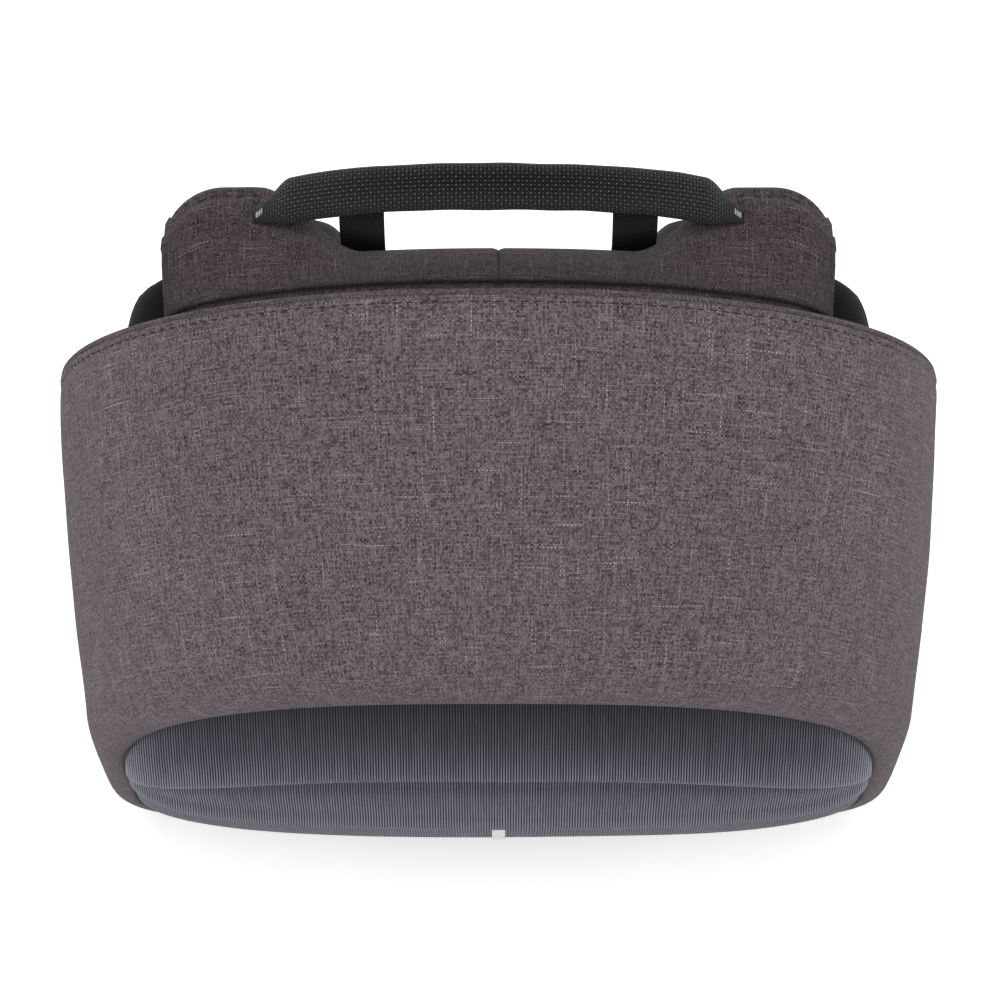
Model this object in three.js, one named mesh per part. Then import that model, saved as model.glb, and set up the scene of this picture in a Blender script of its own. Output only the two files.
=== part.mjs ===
// A slim backpack with a padded hood-like shell, standing upright on its flat base.
// Millimetres, +Z up, the front faces -Y, and the origin is the middle of the base.
// Depth is counted forwards from the back rim of the shell, so points behind the rim have a negative depth.

import * as THREE from 'three';

// Shell
const SHELL_WIDTH = 303;
const SHELL_HEIGHT = 440;
const SHELL_DEPTH = 125;
const BASE_MIDDLE = 58;
const SHELL_WALL = 4;
const HOOD_DROP = 66;
const HOOD_POWER = 1.55;
const SHELL_NARROWING = 7;
const RIM_CURVE = 7.5;
const RIM_SHOULDER = 124;
const RIM_SHOULDER_POWER = 2.6;
const FRONT_SHOULDER = 150;
const FRONT_SHOULDER_POWER = 2.8;
const RIM_FOOT = 45;
const FRONT_FOOT = 140;
const FRONT_FOOT_SPAN = 90;
const FOOT_POWER = 2.3;
const HEEL_LIFT = 2;
const HEEL_LENGTH = 8;
const TOE_LIFT = 7;
const TOE_LENGTH = 26;
const CHIN_RECESS = 11;
const CHIN_HEIGHT = 200;

// Opening in the front of the shell, and the lip that turns in to it
const OPENING_WIDTH = 268;
const OPENING_TOP = 366;
const OPENING_BOTTOM = 30;
const OPENING_SHOULDER = 165;
const OPENING_SHOULDER_POWER = 2.8;
const OPENING_FOOT = 120;
const OPENING_FOOT_SPAN = 110;
const OPENING_FOOT_POWER = 2.4;
const LIP_ROLL = 13;
const LIP_THICKNESS = 4;

// Front panel, with the width of a ridge as a share of the panel's height
const PANEL_THICKNESS = 7;
const PANEL_CLEARANCE = 0.7;
const PANEL_RECESS = 3;
const PANEL_RISE = 24;
const PANEL_CROWN = 6.8;
const PANEL_EDGE_POWER = 7;
const PANEL_FOOT_POWER = 1.2;
const BULGE_HEIGHT = 235;
const RIDGE_RELIEF = 1.2;
const RIDGE_WIDTH = 0.02;
const STRIP_WIDTH = 4.8;
const STRIP_THICKNESS = 0.6;
const STRIP_TOP = 232;
const STRIP_BOTTOM = 96;

// Back panel
const PLATE_THICKNESS = 3;
const PLATE_CLEARANCE = 1.2;
const PAD_WIDTH = 257;
const PAD_TOP = 384;
const PAD_BOTTOM = 106;
const PAD_THICKNESS = 24;
const PAD_SHOULDER = 66;
const PAD_SHOULDER_POWER = 3.6;
const PAD_FOOT = 55;
const PAD_FOAM = 12;

// Piping round the back rim
const PIPING_RADIUS = 1.4;
const PIPING_SIDES = 6;

// Yoke and strap tops
const YOKE_HALF_WIDTH = 111;
const YOKE_MIDDLE_DEPTH = 17;
const YOKE_EAR_DEPTH = 39.5;
const YOKE_FOOT = 396;
const YOKE_RISE = 46;
const EAR_START = 44;
const EAR_END = 84;
const EAR_CORNER = 20;
const EAR_CORNER_FULLNESS = 0.96;
const EAR_SLOPE = 7.5;
const SEAM_GAP = 0.4;

// Shoulder straps, with the share of their drop over which they leave the shape of the yoke
const STRAP_THICKNESS = 8;
const LINING_THICKNESS = 3.5;
const STRAP_BOTTOM = 150;
const STRAP_BOW = 14;
const STRAP_RELAXED = 0.16;
const STRAP_WIDTH = 60;
const STRAP_MIDDLE = 92;
const STRAP_SWING = 8;

// Ladder locks, webbing and corner tabs
const BUCKLE_WIDTH = 34;
const BUCKLE_HEIGHT = 24;
const BUCKLE_THICKNESS = 5;
const BUCKLE_CORNER = 4;
const WEBBING_WIDTH = 25;
const WEBBING_THICKNESS = 2;
const TAB_LENGTH = 30;
const TAB_WIDTH = 29;
const TAB_THICKNESS = 4;
const TAB_TOP = 80;
const TAB_INSET = 34;
const TAB_STAND_OFF = 6;
const TAB_SPLAY = 4;

// Handle
const HANDLE_HALF_SPAN = 81;
const HANDLE_TOP = 470;
const HANDLE_ARCH = 30;
const HANDLE_ARCH_POWER = 2.6;
const HANDLE_BACK = 29;
const HANDLE_DRIFT = 3.5;
const HANDLE_WIDTH = 15;
const HANDLE_THICKNESS = 12;
const HANDLE_END_WIDTH = 4;
const HANDLE_END_THICKNESS = 2.4;
const HANDLE_TAPER_START = 0.84;
const HANDLE_TAB_INNER = 37.5;
const HANDLE_TAB_OUTER = 52.5;
const HANDLE_TAB_THICKNESS = 2.2;
const HANDLE_TAB_CURL = 3;
const HANDLE_TAB_BEND = 424;
const HANDLE_TAB_FOOT = 402;

// Gap between neighbouring pieces
const CLEARANCE = 0.4;

// Mesh fineness
const HALF_OUTLINE_STEPS = 32;
const CORNER_STEPS = 20;
const PANEL_COLUMNS = 11;
const STRIP_STEPS = 10;
const WEBBING_STEPS = 5;
const HANDLE_STEPS = 22;
const HANDLE_TAB_STEPS = 6;

const { lerp, smoothstep } = THREE.MathUtils;

function place(x, depth, z) {
  return new THREE.Vector3(x, BASE_MIDDLE - depth, z);
}

// Closed surface through rings of points, joined end to end or capped
function skin(rings, cyclic = false) {
  const count = rings[0].length;
  const points = rings.flat();
  const faces = [];
  const bands = cyclic ? rings.length : rings.length - 1;
  for (let r = 0; r < bands; r += 1) {
    const next = (r + 1) % rings.length;
    for (let i = 0; i < count; i += 1) {
      const j = (i + 1) % count;
      faces.push(r * count + i, r * count + j, next * count + j);
      faces.push(r * count + i, next * count + j, next * count + i);
    }
  }
  if (!cyclic) {
    faces.push(...cap(rings[0], 0, true));
    faces.push(...cap(rings.at(-1), (rings.length - 1) * count, false));
  }
  return closedGeometry(points, faces);
}

// Triangles over a flat ring
function cap(ring, offset, reversed) {
  const normal = new THREE.Vector3();
  ring.forEach((point, i) => {
    normal.add(point.clone().cross(ring[(i + 1) % ring.length]));
  });
  normal.normalize();
  const across = new THREE.Vector3(1, 0, 0);
  if (Math.abs(normal.x) > 0.9) across.set(0, 1, 0);
  const up = normal.clone().cross(across).normalize();
  across.crossVectors(up, normal);
  const flat = ring.map((point) => new THREE.Vector2(point.dot(across), point.dot(up)));
  const triangles = THREE.ShapeUtils.triangulateShape(flat, []);
  return triangles.flatMap(([a, b, c]) => (reversed
    ? [offset + a, offset + c, offset + b]
    : [offset + a, offset + b, offset + c]));
}

// Geometry whose faces point out, whichever way its rings ran
function closedGeometry(points, faces) {
  let volume = 0;
  for (let k = 0; k < faces.length; k += 3) {
    const [a, b, c] = [points[faces[k]], points[faces[k + 1]], points[faces[k + 2]]];
    volume += a.dot(b.clone().cross(c));
  }
  if (volume < 0) faces.reverse();
  const geometry = new THREE.BufferGeometry().setFromPoints(points);
  geometry.setIndex(faces);
  geometry.computeVertexNormals();
  return geometry;
}

// Slab between a grid of points and the same grid moved by an offset
function slabGeometry(grid, offset) {
  const columns = grid.length;
  const rows = grid[0].length;
  const face = grid.flat();
  const points = [...face, ...face.map((point) => point.clone().add(offset))];
  const behind = face.length;
  const faces = [];
  const quad = (a, b, c, d) => faces.push(a, b, c, a, c, d);
  for (let c = 0; c < columns - 1; c += 1) {
    for (let r = 0; r < rows - 1; r += 1) {
      const at = c * rows + r;
      quad(at, at + rows, at + rows + 1, at + 1);
      quad(behind + at, behind + at + 1, behind + at + rows + 1, behind + at + rows);
    }
  }
  for (let c = 0; c < columns - 1; c += 1) {
    const low = c * rows;
    const high = low + rows - 1;
    quad(low + rows, low, behind + low, behind + low + rows);
    quad(high, high + rows, behind + high + rows, behind + high);
  }
  for (let r = 0; r < rows - 1; r += 1) {
    const last = (columns - 1) * rows + r;
    quad(r, r + 1, behind + r + 1, behind + r);
    quad(last + 1, last, behind + last, behind + last + 1);
  }
  return closedGeometry(points, faces);
}

// Flat band of four-sided sections along a list of stations
function bandGeometry(stations) {
  return skin(stations.map(({ left, right, through }) => [
    left.clone().addScaledVector(through, 0.5),
    right.clone().addScaledVector(through, 0.5),
    right.clone().addScaledVector(through, -0.5),
    left.clone().addScaledVector(through, -0.5),
  ]));
}

// Fall of a superelliptic corner at a share of the way out to its edge, as a share of the corner's height
function cornerFall(share, power) {
  return 1 - (1 - Math.min(1, share) ** power) ** (1 / power);
}

// Upright outline with superelliptic shoulders and feet
function outline(shape) {
  const points = [];
  for (let i = 0; i <= CORNER_STEPS; i += 1) {
    const angle = (Math.PI / 2) * (i / CORNER_STEPS);
    points.push(new THREE.Vector2(
      shape.half * Math.sin(angle) ** (2 / shape.shoulderPower),
      shape.top - shape.shoulder * (1 - Math.cos(angle) ** (2 / shape.shoulderPower)),
    ));
  }
  for (let i = 0; i <= CORNER_STEPS; i += 1) {
    const angle = (Math.PI / 2) * (i / CORNER_STEPS);
    points.push(new THREE.Vector2(
      shape.half - shape.footSpan * (1 - Math.cos(angle) ** (2 / shape.footPower)),
      shape.bottom + shape.foot * (1 - Math.sin(angle) ** (2 / shape.footPower)),
    ));
  }
  points.push(new THREE.Vector2(0, shape.bottom));
  const path = new THREE.CurvePath();
  for (let k = 1; k < points.length; k += 1) {
    if (points[k].distanceTo(points[k - 1]) > 0.001) path.add(new THREE.LineCurve(points[k - 1], points[k]));
  }
  const right = path.getSpacedPoints(HALF_OUTLINE_STEPS);
  const left = right.slice(1, -1).reverse().map((point) => new THREE.Vector2(-point.x, point.y));
  return [...right, ...left];
}

// Outline of the shell at a share of its depth
function shellShape(share, inset = 0) {
  const heel = Math.max(0, 1 - (share * SHELL_DEPTH) / HEEL_LENGTH);
  const toe = Math.max(0, 1 - ((1 - share) * SHELL_DEPTH) / TOE_LENGTH);
  return {
    half: SHELL_WIDTH / 2 - SHELL_NARROWING * share ** 2 - inset,
    top: SHELL_HEIGHT - HOOD_DROP * share ** HOOD_POWER - inset,
    bottom: HEEL_LIFT * heel ** 2 + TOE_LIFT * toe ** 2 + inset,
    shoulder: lerp(RIM_SHOULDER, FRONT_SHOULDER, share) - inset,
    shoulderPower: lerp(RIM_SHOULDER_POWER, FRONT_SHOULDER_POWER, share),
    foot: lerp(RIM_FOOT, FRONT_FOOT, share) - inset,
    footSpan: lerp(RIM_FOOT, FRONT_FOOT_SPAN, share) - inset,
    footPower: FOOT_POWER,
  };
}

const openingShape = {
  half: OPENING_WIDTH / 2,
  top: OPENING_TOP,
  bottom: OPENING_BOTTOM,
  shoulder: OPENING_SHOULDER,
  shoulderPower: OPENING_SHOULDER_POWER,
  foot: OPENING_FOOT,
  footSpan: OPENING_FOOT_SPAN,
  footPower: OPENING_FOOT_POWER,
};

// How far the back rim bends forwards at a place across it
function rimCurve(x) {
  return RIM_CURVE * (2 * x / SHELL_WIDTH) ** 2;
}

// How far the back rim falls below its top at a place across it
function rimDrop(x) {
  return RIM_SHOULDER * cornerFall((2 * Math.abs(x)) / SHELL_WIDTH, RIM_SHOULDER_POWER);
}

function shellDepthAt(share, x, z) {
  const chin = Math.max(0, 1 - z / CHIN_HEIGHT);
  return SHELL_DEPTH * share + rimCurve(x) * (1 - share) ** 2 - CHIN_RECESS * share ** 3 * chin ** 2;
}

function shellRing(share, inset = 0) {
  return outline(shellShape(share, inset)).map(({ x, y }) => place(x, shellDepthAt(share, x, y), y));
}

function openingRing(setBack = 0) {
  return outline(openingShape).map(({ x, y }) => place(x, shellDepthAt(1, x, y) - setBack, y));
}

// Points part of the way along the quadratic curve from one ring to another
function rolledRing(from, corner, to, share) {
  return from.map((point, i) => (
    new THREE.QuadraticBezierCurve3(point, corner[i], to[i]).getPoint(share)
  ));
}

// Rings of the shell, as shares of its depth outside and inside, and of the roll of its lip
const OUTER_RINGS = [0, HEEL_LENGTH / SHELL_DEPTH, 0.3, 0.48, 0.64, 1 - TOE_LENGTH / SHELL_DEPTH];
const OUTER_ROLL = [0, 0.3, 0.55, 0.8, 1];
const INNER_ROLL = [0, 0.35, 0.7, 1];
const INNER_RINGS = [0.6, 0.3, HEEL_LENGTH / SHELL_DEPTH, 0];

function shellGeometry() {
  const rollStart = 1 - LIP_ROLL / SHELL_DEPTH;
  const outerStart = shellRing(rollStart);
  const outerCorner = shellRing(1);
  const innerStart = shellRing(rollStart, SHELL_WALL);
  const innerCorner = shellRing(1, SHELL_WALL).map((point) => point.setY(point.y + LIP_THICKNESS));
  const hemFront = openingRing();
  const hemBack = openingRing(LIP_THICKNESS);
  return skin([
    ...OUTER_RINGS.map((share) => shellRing(share)),
    ...OUTER_ROLL.map((share) => rolledRing(outerStart, outerCorner, hemFront, share)),
    ...INNER_ROLL.map((share) => rolledRing(hemBack, innerCorner, innerStart, share)),
    ...INNER_RINGS.map((share) => shellRing(share, SHELL_WALL)),
  ], true);
}

// Height of the opening's top edge above a place across it
function openingTopAt(x) {
  return OPENING_TOP - OPENING_SHOULDER * cornerFall(Math.abs(x) / openingShape.half, OPENING_SHOULDER_POWER);
}

// Height of the opening's bottom edge above a place across it
function openingBottomAt(x) {
  const share = Math.max(0, (Math.abs(x) - openingShape.half + OPENING_FOOT_SPAN) / OPENING_FOOT_SPAN);
  return OPENING_BOTTOM + OPENING_FOOT * cornerFall(share, OPENING_FOOT_POWER);
}

// Ridges of the front panel, as shares of the way up from its bottom edge to its top edge
const RIDGES = [
  { up: 0.81, groove: 0.775 },
  { up: 0.62, groove: 0.585 },
];

function bump(value, middle) {
  return Math.exp(-(((value - middle) / RIDGE_WIDTH) ** 2));
}

// Depth of the front panel's face
function panelDepth(x, up, z) {
  const edge = shellDepthAt(1, x, z) - PANEL_RECESS;
  const above = (OPENING_TOP - z) / (OPENING_TOP - BULGE_HEIGHT);
  const below = (BULGE_HEIGHT - z) / (BULGE_HEIGHT - OPENING_BOTTOM);
  const swell = z > BULGE_HEIGHT
    ? Math.sin((Math.PI / 2) * Math.max(0, above))
    : Math.cos((Math.PI / 2) * Math.min(1, below)) ** PANEL_FOOT_POWER;
  const across = Math.min(1, Math.abs(x) / openingShape.half);
  const sideways = 1 - across ** PANEL_EDGE_POWER;
  const upwards = 1 - Math.abs(2 * up - 1) ** PANEL_EDGE_POWER;
  let relief = 0;
  for (const ridge of RIDGES) {
    relief += RIDGE_RELIEF * (bump(up, ridge.up) - across * bump(up, ridge.groove));
  }
  const rise = (PANEL_RISE - PANEL_CROWN * across ** 2) * swell + relief;
  return edge + rise * Math.sqrt(sideways * upwards);
}

// Rows of the front panel, as shares of the way up, closer together at the ridges
const PANEL_ROWS = [
  0, 0.03, 0.09, 0.18, 0.3, 0.44, 0.54, 0.585, 0.62, 0.66, 0.73, 0.775, 0.81, 0.86, 0.93, 0.98, 1,
];

function frontPanelGeometry() {
  const shrink = (openingShape.half - PANEL_CLEARANCE) / openingShape.half;
  const front = [];
  for (let column = -PANEL_COLUMNS; column <= PANEL_COLUMNS; column += 1) {
    const wide = openingShape.half * Math.sin((Math.PI / 2) * (column / PANEL_COLUMNS));
    const x = wide * shrink;
    const low = openingBottomAt(wide) + PANEL_CLEARANCE;
    const high = openingTopAt(wide) - PANEL_CLEARANCE;
    front.push(PANEL_ROWS.map((up) => {
      const z = lerp(low, high, up);
      return place(x, panelDepth(x, up, z), z);
    }));
  }
  return slabGeometry(front, new THREE.Vector3(0, PANEL_THICKNESS, 0));
}

function reflectiveStripGeometry() {
  const grid = [-STRIP_WIDTH / 2, STRIP_WIDTH / 2].map((x) => {
    const column = [];
    for (let k = 0; k <= STRIP_STEPS; k += 1) {
      const z = lerp(STRIP_BOTTOM, STRIP_TOP, k / STRIP_STEPS);
      const up = (z - OPENING_BOTTOM) / (OPENING_TOP - OPENING_BOTTOM);
      column.push(place(x, panelDepth(x, up, z) + CLEARANCE + STRIP_THICKNESS, z));
    }
    return column;
  });
  return slabGeometry(grid, new THREE.Vector3(0, STRIP_THICKNESS, 0));
}

// Sections of the back padding, as shares of its thickness: how far back, and how far in from its edge
const PAD_SECTIONS = [
  { back: 0, inset: 0 },
  { back: 0.45, inset: 0.02 },
  { back: 0.78, inset: 0.08 },
  { back: 0.95, inset: 0.25 },
  { back: 1, inset: 0.6 },
  { back: 1, inset: 2.5 },
];

// Sections of the hollow behind the padding, as shares of its depth and of the foam's thickness
const HOLLOW_SECTIONS = [
  { back: 1, inset: 5 },
  { back: 1, inset: 1.9 },
  { back: 0.85, inset: 1.3 },
  { back: 0, inset: 1 },
];

function padOutline(gap) {
  return outline({
    half: PAD_WIDTH / 2 - gap,
    top: PAD_TOP - gap,
    bottom: PAD_BOTTOM + gap,
    shoulder: PAD_SHOULDER,
    shoulderPower: PAD_SHOULDER_POWER,
    foot: PAD_FOOT,
    footSpan: PAD_FOOT,
    footPower: FOOT_POWER,
  });
}

// Flat backing inside the rim with moulded padding on it, flat behind from side to side and hollow in front
function backPanelGeometry() {
  const plate = outline(shellShape(0, SHELL_WALL + PLATE_CLEARANCE));
  const plateRing = (forwards) => plate.map(({ x, y }) => place(x, rimCurve(x) + forwards, y));
  const padRing = ({ back, inset }) => padOutline(inset * PAD_THICKNESS).map(({ x, y }) => (
    place(x, lerp(rimCurve(x), -PAD_THICKNESS, back), y)
  ));
  const hollowRing = ({ back, inset }) => padOutline(inset * PAD_FOAM).map(({ x, y }) => (
    place(x, lerp(rimCurve(x) + PLATE_THICKNESS, PAD_FOAM - PAD_THICKNESS, back), y)
  ));
  return skin([
    ...HOLLOW_SECTIONS.map(hollowRing),
    plateRing(PLATE_THICKNESS),
    plateRing(0),
    ...PAD_SECTIONS.map(padRing),
  ]);
}

function pipingGeometry() {
  const middle = outline(shellShape(0, PIPING_RADIUS));
  const rings = middle.map(({ x, y }, i) => {
    const before = middle.at(i - 1);
    const after = middle[(i + 1) % middle.length];
    const outwards = new THREE.Vector2(before.y - after.y, after.x - before.x).normalize();
    const ring = [];
    for (let k = 0; k < PIPING_SIDES; k += 1) {
      const angle = (2 * Math.PI * k) / PIPING_SIDES;
      const out = PIPING_RADIUS * Math.cos(angle);
      const back = CLEARANCE + PIPING_RADIUS * (1 + Math.sin(angle));
      ring.push(place(x + outwards.x * out, rimCurve(x) - back, y + outwards.y * out));
    }
    return ring;
  });
  return skin(rings, true);
}

// Sections of the yoke at the middle seam and through the ear that turns over into a strap.
// back is a share of the section's own depth, up a share of YOKE_RISE above YOKE_FOOT,
// and rim says how far the point follows the fall of the back rim.
const YOKE_SECTIONS = [
  { middleBack: 0.04, middleUp: 0.04, earBack: 0.02, earUp: 0.04, rim: 1 },
  { middleBack: 0.04, middleUp: 0.67, earBack: 0.02, earUp: 0.67, rim: 1 },
  { middleBack: 0.27, middleUp: 0.8, earBack: 0.11, earUp: 0.8, rim: 1 },
  { middleBack: 0.3, middleUp: 0.93, earBack: 0.14, earUp: 0.94, rim: 1 },
  { middleBack: 0.5, middleUp: 1, earBack: 0.34, earUp: 0.99, rim: 0.7 },
  { middleBack: 0.73, middleUp: 0.985, earBack: 0.58, earUp: 0.95, rim: 0.1 },
  { middleBack: 0.92, middleUp: 0.9, earBack: 0.8, earUp: 0.92, rim: 0 },
  { middleBack: 1, middleUp: 0.75, earBack: 0.96, earUp: 0.76, rim: 0 },
  { middleBack: 1, middleUp: 0.48, earBack: 1, earUp: 0.44, rim: 0 },
  { middleBack: 0.94, middleUp: 0.1, earBack: 1, earUp: 0, rim: 0 },
  { middleBack: 0.76, middleUp: 0.02, earBack: 0.68, earUp: 0, rim: 0 },
  { middleBack: 0.62, middleUp: 0.01, earBack: 0.68, earUp: 0.34, rim: 0 },
  { middleBack: 0.48, middleUp: 0.005, earBack: 0.54, earUp: 0.55, rim: 0.2 },
  { middleBack: 0.36, middleUp: 0.005, earBack: 0.36, earUp: 0.6, rim: 0.6 },
  { middleBack: 0.2, middleUp: 0.01, earBack: 0.22, earUp: 0.04, rim: 1 },
];

// Stations of the yoke, as shares of the way out from the middle seam
const YOKE_STATIONS = [0, 0.12, 0.26, 0.4, 0.46, 0.52, 0.58, 0.64, 0.7, 0.76, 0.82, 0.88, 0.93, 0.97, 1];

function earShare(x) {
  return smoothstep(Math.abs(x), EAR_START, EAR_END);
}

// Rounding of the ear's outer corner, seen from above, as a share of EAR_CORNER
function earCorner(x) {
  const past = Math.max(0, (Math.abs(x) - YOKE_HALF_WIDTH + EAR_CORNER) / EAR_CORNER);
  return 1 - Math.sqrt(Math.max(0, 1 - EAR_CORNER_FULLNESS * past ** 2));
}

// Depth behind the rim of the yoke's back face
function yokeReach(x) {
  return lerp(YOKE_MIDDLE_DEPTH, YOKE_EAR_DEPTH, earShare(x)) - EAR_CORNER * earCorner(x);
}

// Height of the yoke's lower edge at its back face
function yokeFootAt(x) {
  return YOKE_FOOT - (1 - earShare(x)) * rimDrop(x);
}

function yokeSection(x) {
  const ear = earShare(x);
  const corner = earCorner(x);
  const squeeze = 1 - (EAR_CORNER * corner) / YOKE_EAR_DEPTH;
  return YOKE_SECTIONS.map((row) => {
    const follow = lerp(1, row.rim, ear);
    const back = lerp(row.middleBack * YOKE_MIDDLE_DEPTH, row.earBack * YOKE_EAR_DEPTH * squeeze, ear);
    const up = YOKE_RISE * lerp(row.middleUp, row.earUp, ear);
    const sink = EAR_SLOPE * corner * row.earUp;
    return place(x, follow * rimCurve(x) - back, YOKE_FOOT + up - follow * rimDrop(x) - sink);
  });
}

function yokeGeometry(side) {
  const inner = SEAM_GAP / 2;
  return skin(YOKE_STATIONS.map((share) => yokeSection(side * lerp(inner, YOKE_HALF_WIDTH, share))));
}

// Course of a shoulder strap from the yoke down: shares of its drop, its bow, its swing and its width
const STRAP_COURSE = [
  { down: 0, bow: 0, swing: 0.25, width: 0.62 },
  { down: 0.06, bow: 0.1, swing: 0.25, width: 0.65 },
  { down: 0.14, bow: 0.32, swing: 0.38, width: 0.81 },
  { down: 0.26, bow: 0.66, swing: 0.75, width: 0.94 },
  { down: 0.42, bow: 0.94, swing: 1, width: 1 },
  { down: 0.58, bow: 1, swing: 1, width: 0.98 },
  { down: 0.74, bow: 0.86, swing: 0.75, width: 0.87 },
  { down: 0.88, bow: 0.56, swing: 0.38, width: 0.73 },
  { down: 0.97, bow: 0.34, swing: 0.12, width: 0.63 },
  { down: 1, bow: 0.28, swing: 0, width: 0.54 },
];

// Points across one face of a strap, as shares of its half width
const STRAP_FACE = [-0.94, -0.63, -0.31, 0, 0.31, 0.63, 0.94];

// Rounded pad sections along the strap's course, between two distances in from its outer face
function strapGeometry(side, from, to) {
  const edge = [
    ...STRAP_FACE.map((share) => ({ share, inwards: from })),
    { share: 1, inwards: (from + to) / 2 },
    ...STRAP_FACE.toReversed().map((share) => ({ share, inwards: to })),
    { share: -1, inwards: (from + to) / 2 },
  ];
  return skin(STRAP_COURSE.map((row) => {
    const relax = smoothstep(row.down, 0, STRAP_RELAXED);
    return edge.map(({ share, inwards }) => {
      const x = STRAP_MIDDLE - STRAP_SWING * row.swing + (share * row.width * STRAP_WIDTH) / 2;
      const above = yokeReach(Math.min(x, YOKE_HALF_WIDTH - EAR_CORNER / 2));
      const reach = lerp(above, YOKE_EAR_DEPTH, relax) + STRAP_BOW * row.bow;
      const z = lerp(yokeFootAt(x) - CLEARANCE, STRAP_BOTTOM, row.down);
      return place(side * x, inwards - reach, z);
    });
  }));
}

// Where the strap ends and its ladder lock begins
const strapEnd = {
  x: STRAP_MIDDLE,
  depth: STRAP_THICKNESS / 2 - YOKE_EAR_DEPTH - STRAP_BOW * STRAP_COURSE.at(-1).bow,
  z: STRAP_BOTTOM - CLEARANCE,
};

function buckleGeometry() {
  const half = BUCKLE_WIDTH / 2 - BUCKLE_CORNER;
  const reach = BUCKLE_HEIGHT / 2 - BUCKLE_CORNER;
  const shape = new THREE.Shape();
  shape.absarc(half, reach, BUCKLE_CORNER, 0, Math.PI / 2);
  shape.absarc(-half, reach, BUCKLE_CORNER, Math.PI / 2, Math.PI);
  shape.absarc(-half, -reach, BUCKLE_CORNER, Math.PI, 1.5 * Math.PI);
  shape.absarc(half, -reach, BUCKLE_CORNER, 1.5 * Math.PI, 2 * Math.PI);
  const geometry = new THREE.ExtrudeGeometry(shape, {
    depth: BUCKLE_THICKNESS,
    bevelEnabled: false,
    curveSegments: 4,
  });
  geometry.translate(0, 0, -BUCKLE_THICKNESS / 2);
  geometry.rotateX(Math.PI / 2);
  return geometry;
}

const tabMiddle = SHELL_WIDTH / 2 - TAB_INSET;

// Webbing in an easy bend from the ladder lock to the corner tab
function webbingGeometry(side) {
  const top = strapEnd.z - BUCKLE_HEIGHT - CLEARANCE;
  const stations = [];
  for (let k = 0; k <= WEBBING_STEPS; k += 1) {
    const share = k / WEBBING_STEPS;
    const ease = smoothstep(share, 0, 1);
    const x = lerp(strapEnd.x, tabMiddle, ease);
    const depth = lerp(strapEnd.depth, -TAB_STAND_OFF, ease);
    const z = lerp(top, TAB_TOP + CLEARANCE, share);
    stations.push({
      left: place(side * (x - WEBBING_WIDTH / 2), depth, z),
      right: place(side * (x + WEBBING_WIDTH / 2), depth, z),
      through: new THREE.Vector3(0, WEBBING_THICKNESS, 0),
    });
  }
  return bandGeometry(stations);
}

// Corner tab from its top down: shares of its length, width and thickness, and of how far it stands off
const TAB_ROWS = [
  { down: 0, width: 1, thickness: 1, off: 1 },
  { down: 0.4, width: 0.93, thickness: 1, off: 0.75 },
  { down: 1, width: 0.43, thickness: 0.75, off: 0.38 },
];

// Cloth tab folded round the end of the webbing and sewn flat on the back panel beside the padding
function cornerTabGeometry(side) {
  return bandGeometry(TAB_ROWS.map((row) => {
    const x = tabMiddle + TAB_SPLAY * row.down;
    const depth = rimCurve(x) - TAB_STAND_OFF * row.off;
    const z = TAB_TOP - TAB_LENGTH * row.down;
    return {
      left: place(side * (x - (row.width * TAB_WIDTH) / 2), depth, z),
      right: place(side * (x + (row.width * TAB_WIDTH) / 2), depth, z),
      through: new THREE.Vector3(0, row.thickness * TAB_THICKNESS, 0),
    };
  }));
}

// Section of the handle, as shares of its half width and half thickness
const HANDLE_SECTION = [
  { back: -1, up: -0.1 },
  { back: -0.86, up: 0.5 },
  { back: -0.35, up: 0.95 },
  { back: 0.3, up: 1 },
  { back: 0.85, up: 0.6 },
  { back: 1, up: -0.1 },
  { back: 0.85, up: -0.75 },
  { back: 0.2, up: -1 },
  { back: -0.5, up: -0.95 },
  { back: -0.93, up: -0.65 },
];

function handleLine(x) {
  const share = Math.abs(x) / HANDLE_HALF_SPAN;
  const taper = smoothstep(share, HANDLE_TAPER_START, 1);
  return {
    back: HANDLE_BACK - HANDLE_DRIFT * taper,
    up: HANDLE_TOP - HANDLE_ARCH * share ** HANDLE_ARCH_POWER,
    halfWidth: lerp(HANDLE_WIDTH, HANDLE_END_WIDTH, taper) / 2,
    halfThickness: lerp(HANDLE_THICKNESS, HANDLE_END_THICKNESS, taper) / 2,
  };
}

function handleGeometry() {
  const rings = [];
  for (let k = 0; k <= HANDLE_STEPS; k += 1) {
    const x = HANDLE_HALF_SPAN * Math.sin((Math.PI / 2) * ((2 * k) / HANDLE_STEPS - 1));
    const line = handleLine(x);
    rings.push(HANDLE_SECTION.map(({ back, up }) => (
      place(x, -line.back - back * line.halfWidth, line.up + up * line.halfThickness)
    )));
  }
  return skin(rings);
}

// Edge of a handle tab: a curl from under the handle to the yoke's back face, then straight down it
function handleTabEdge(x) {
  const line = handleLine(x);
  const under = line.up - line.halfThickness - CLEARANCE - HANDLE_TAB_THICKNESS / 2;
  const against = rimCurve(x) - yokeReach(x) - 2 * CLEARANCE - HANDLE_TAB_THICKNESS / 2;
  const curl = new THREE.QuadraticBezierCurve(
    new THREE.Vector2(-line.back - HANDLE_TAB_CURL, under),
    new THREE.Vector2(against, under - HANDLE_TAB_CURL),
    new THREE.Vector2(against, HANDLE_TAB_BEND),
  );
  return [...curl.getPoints(HANDLE_TAB_STEPS), new THREE.Vector2(against, HANDLE_TAB_FOOT)];
}

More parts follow.
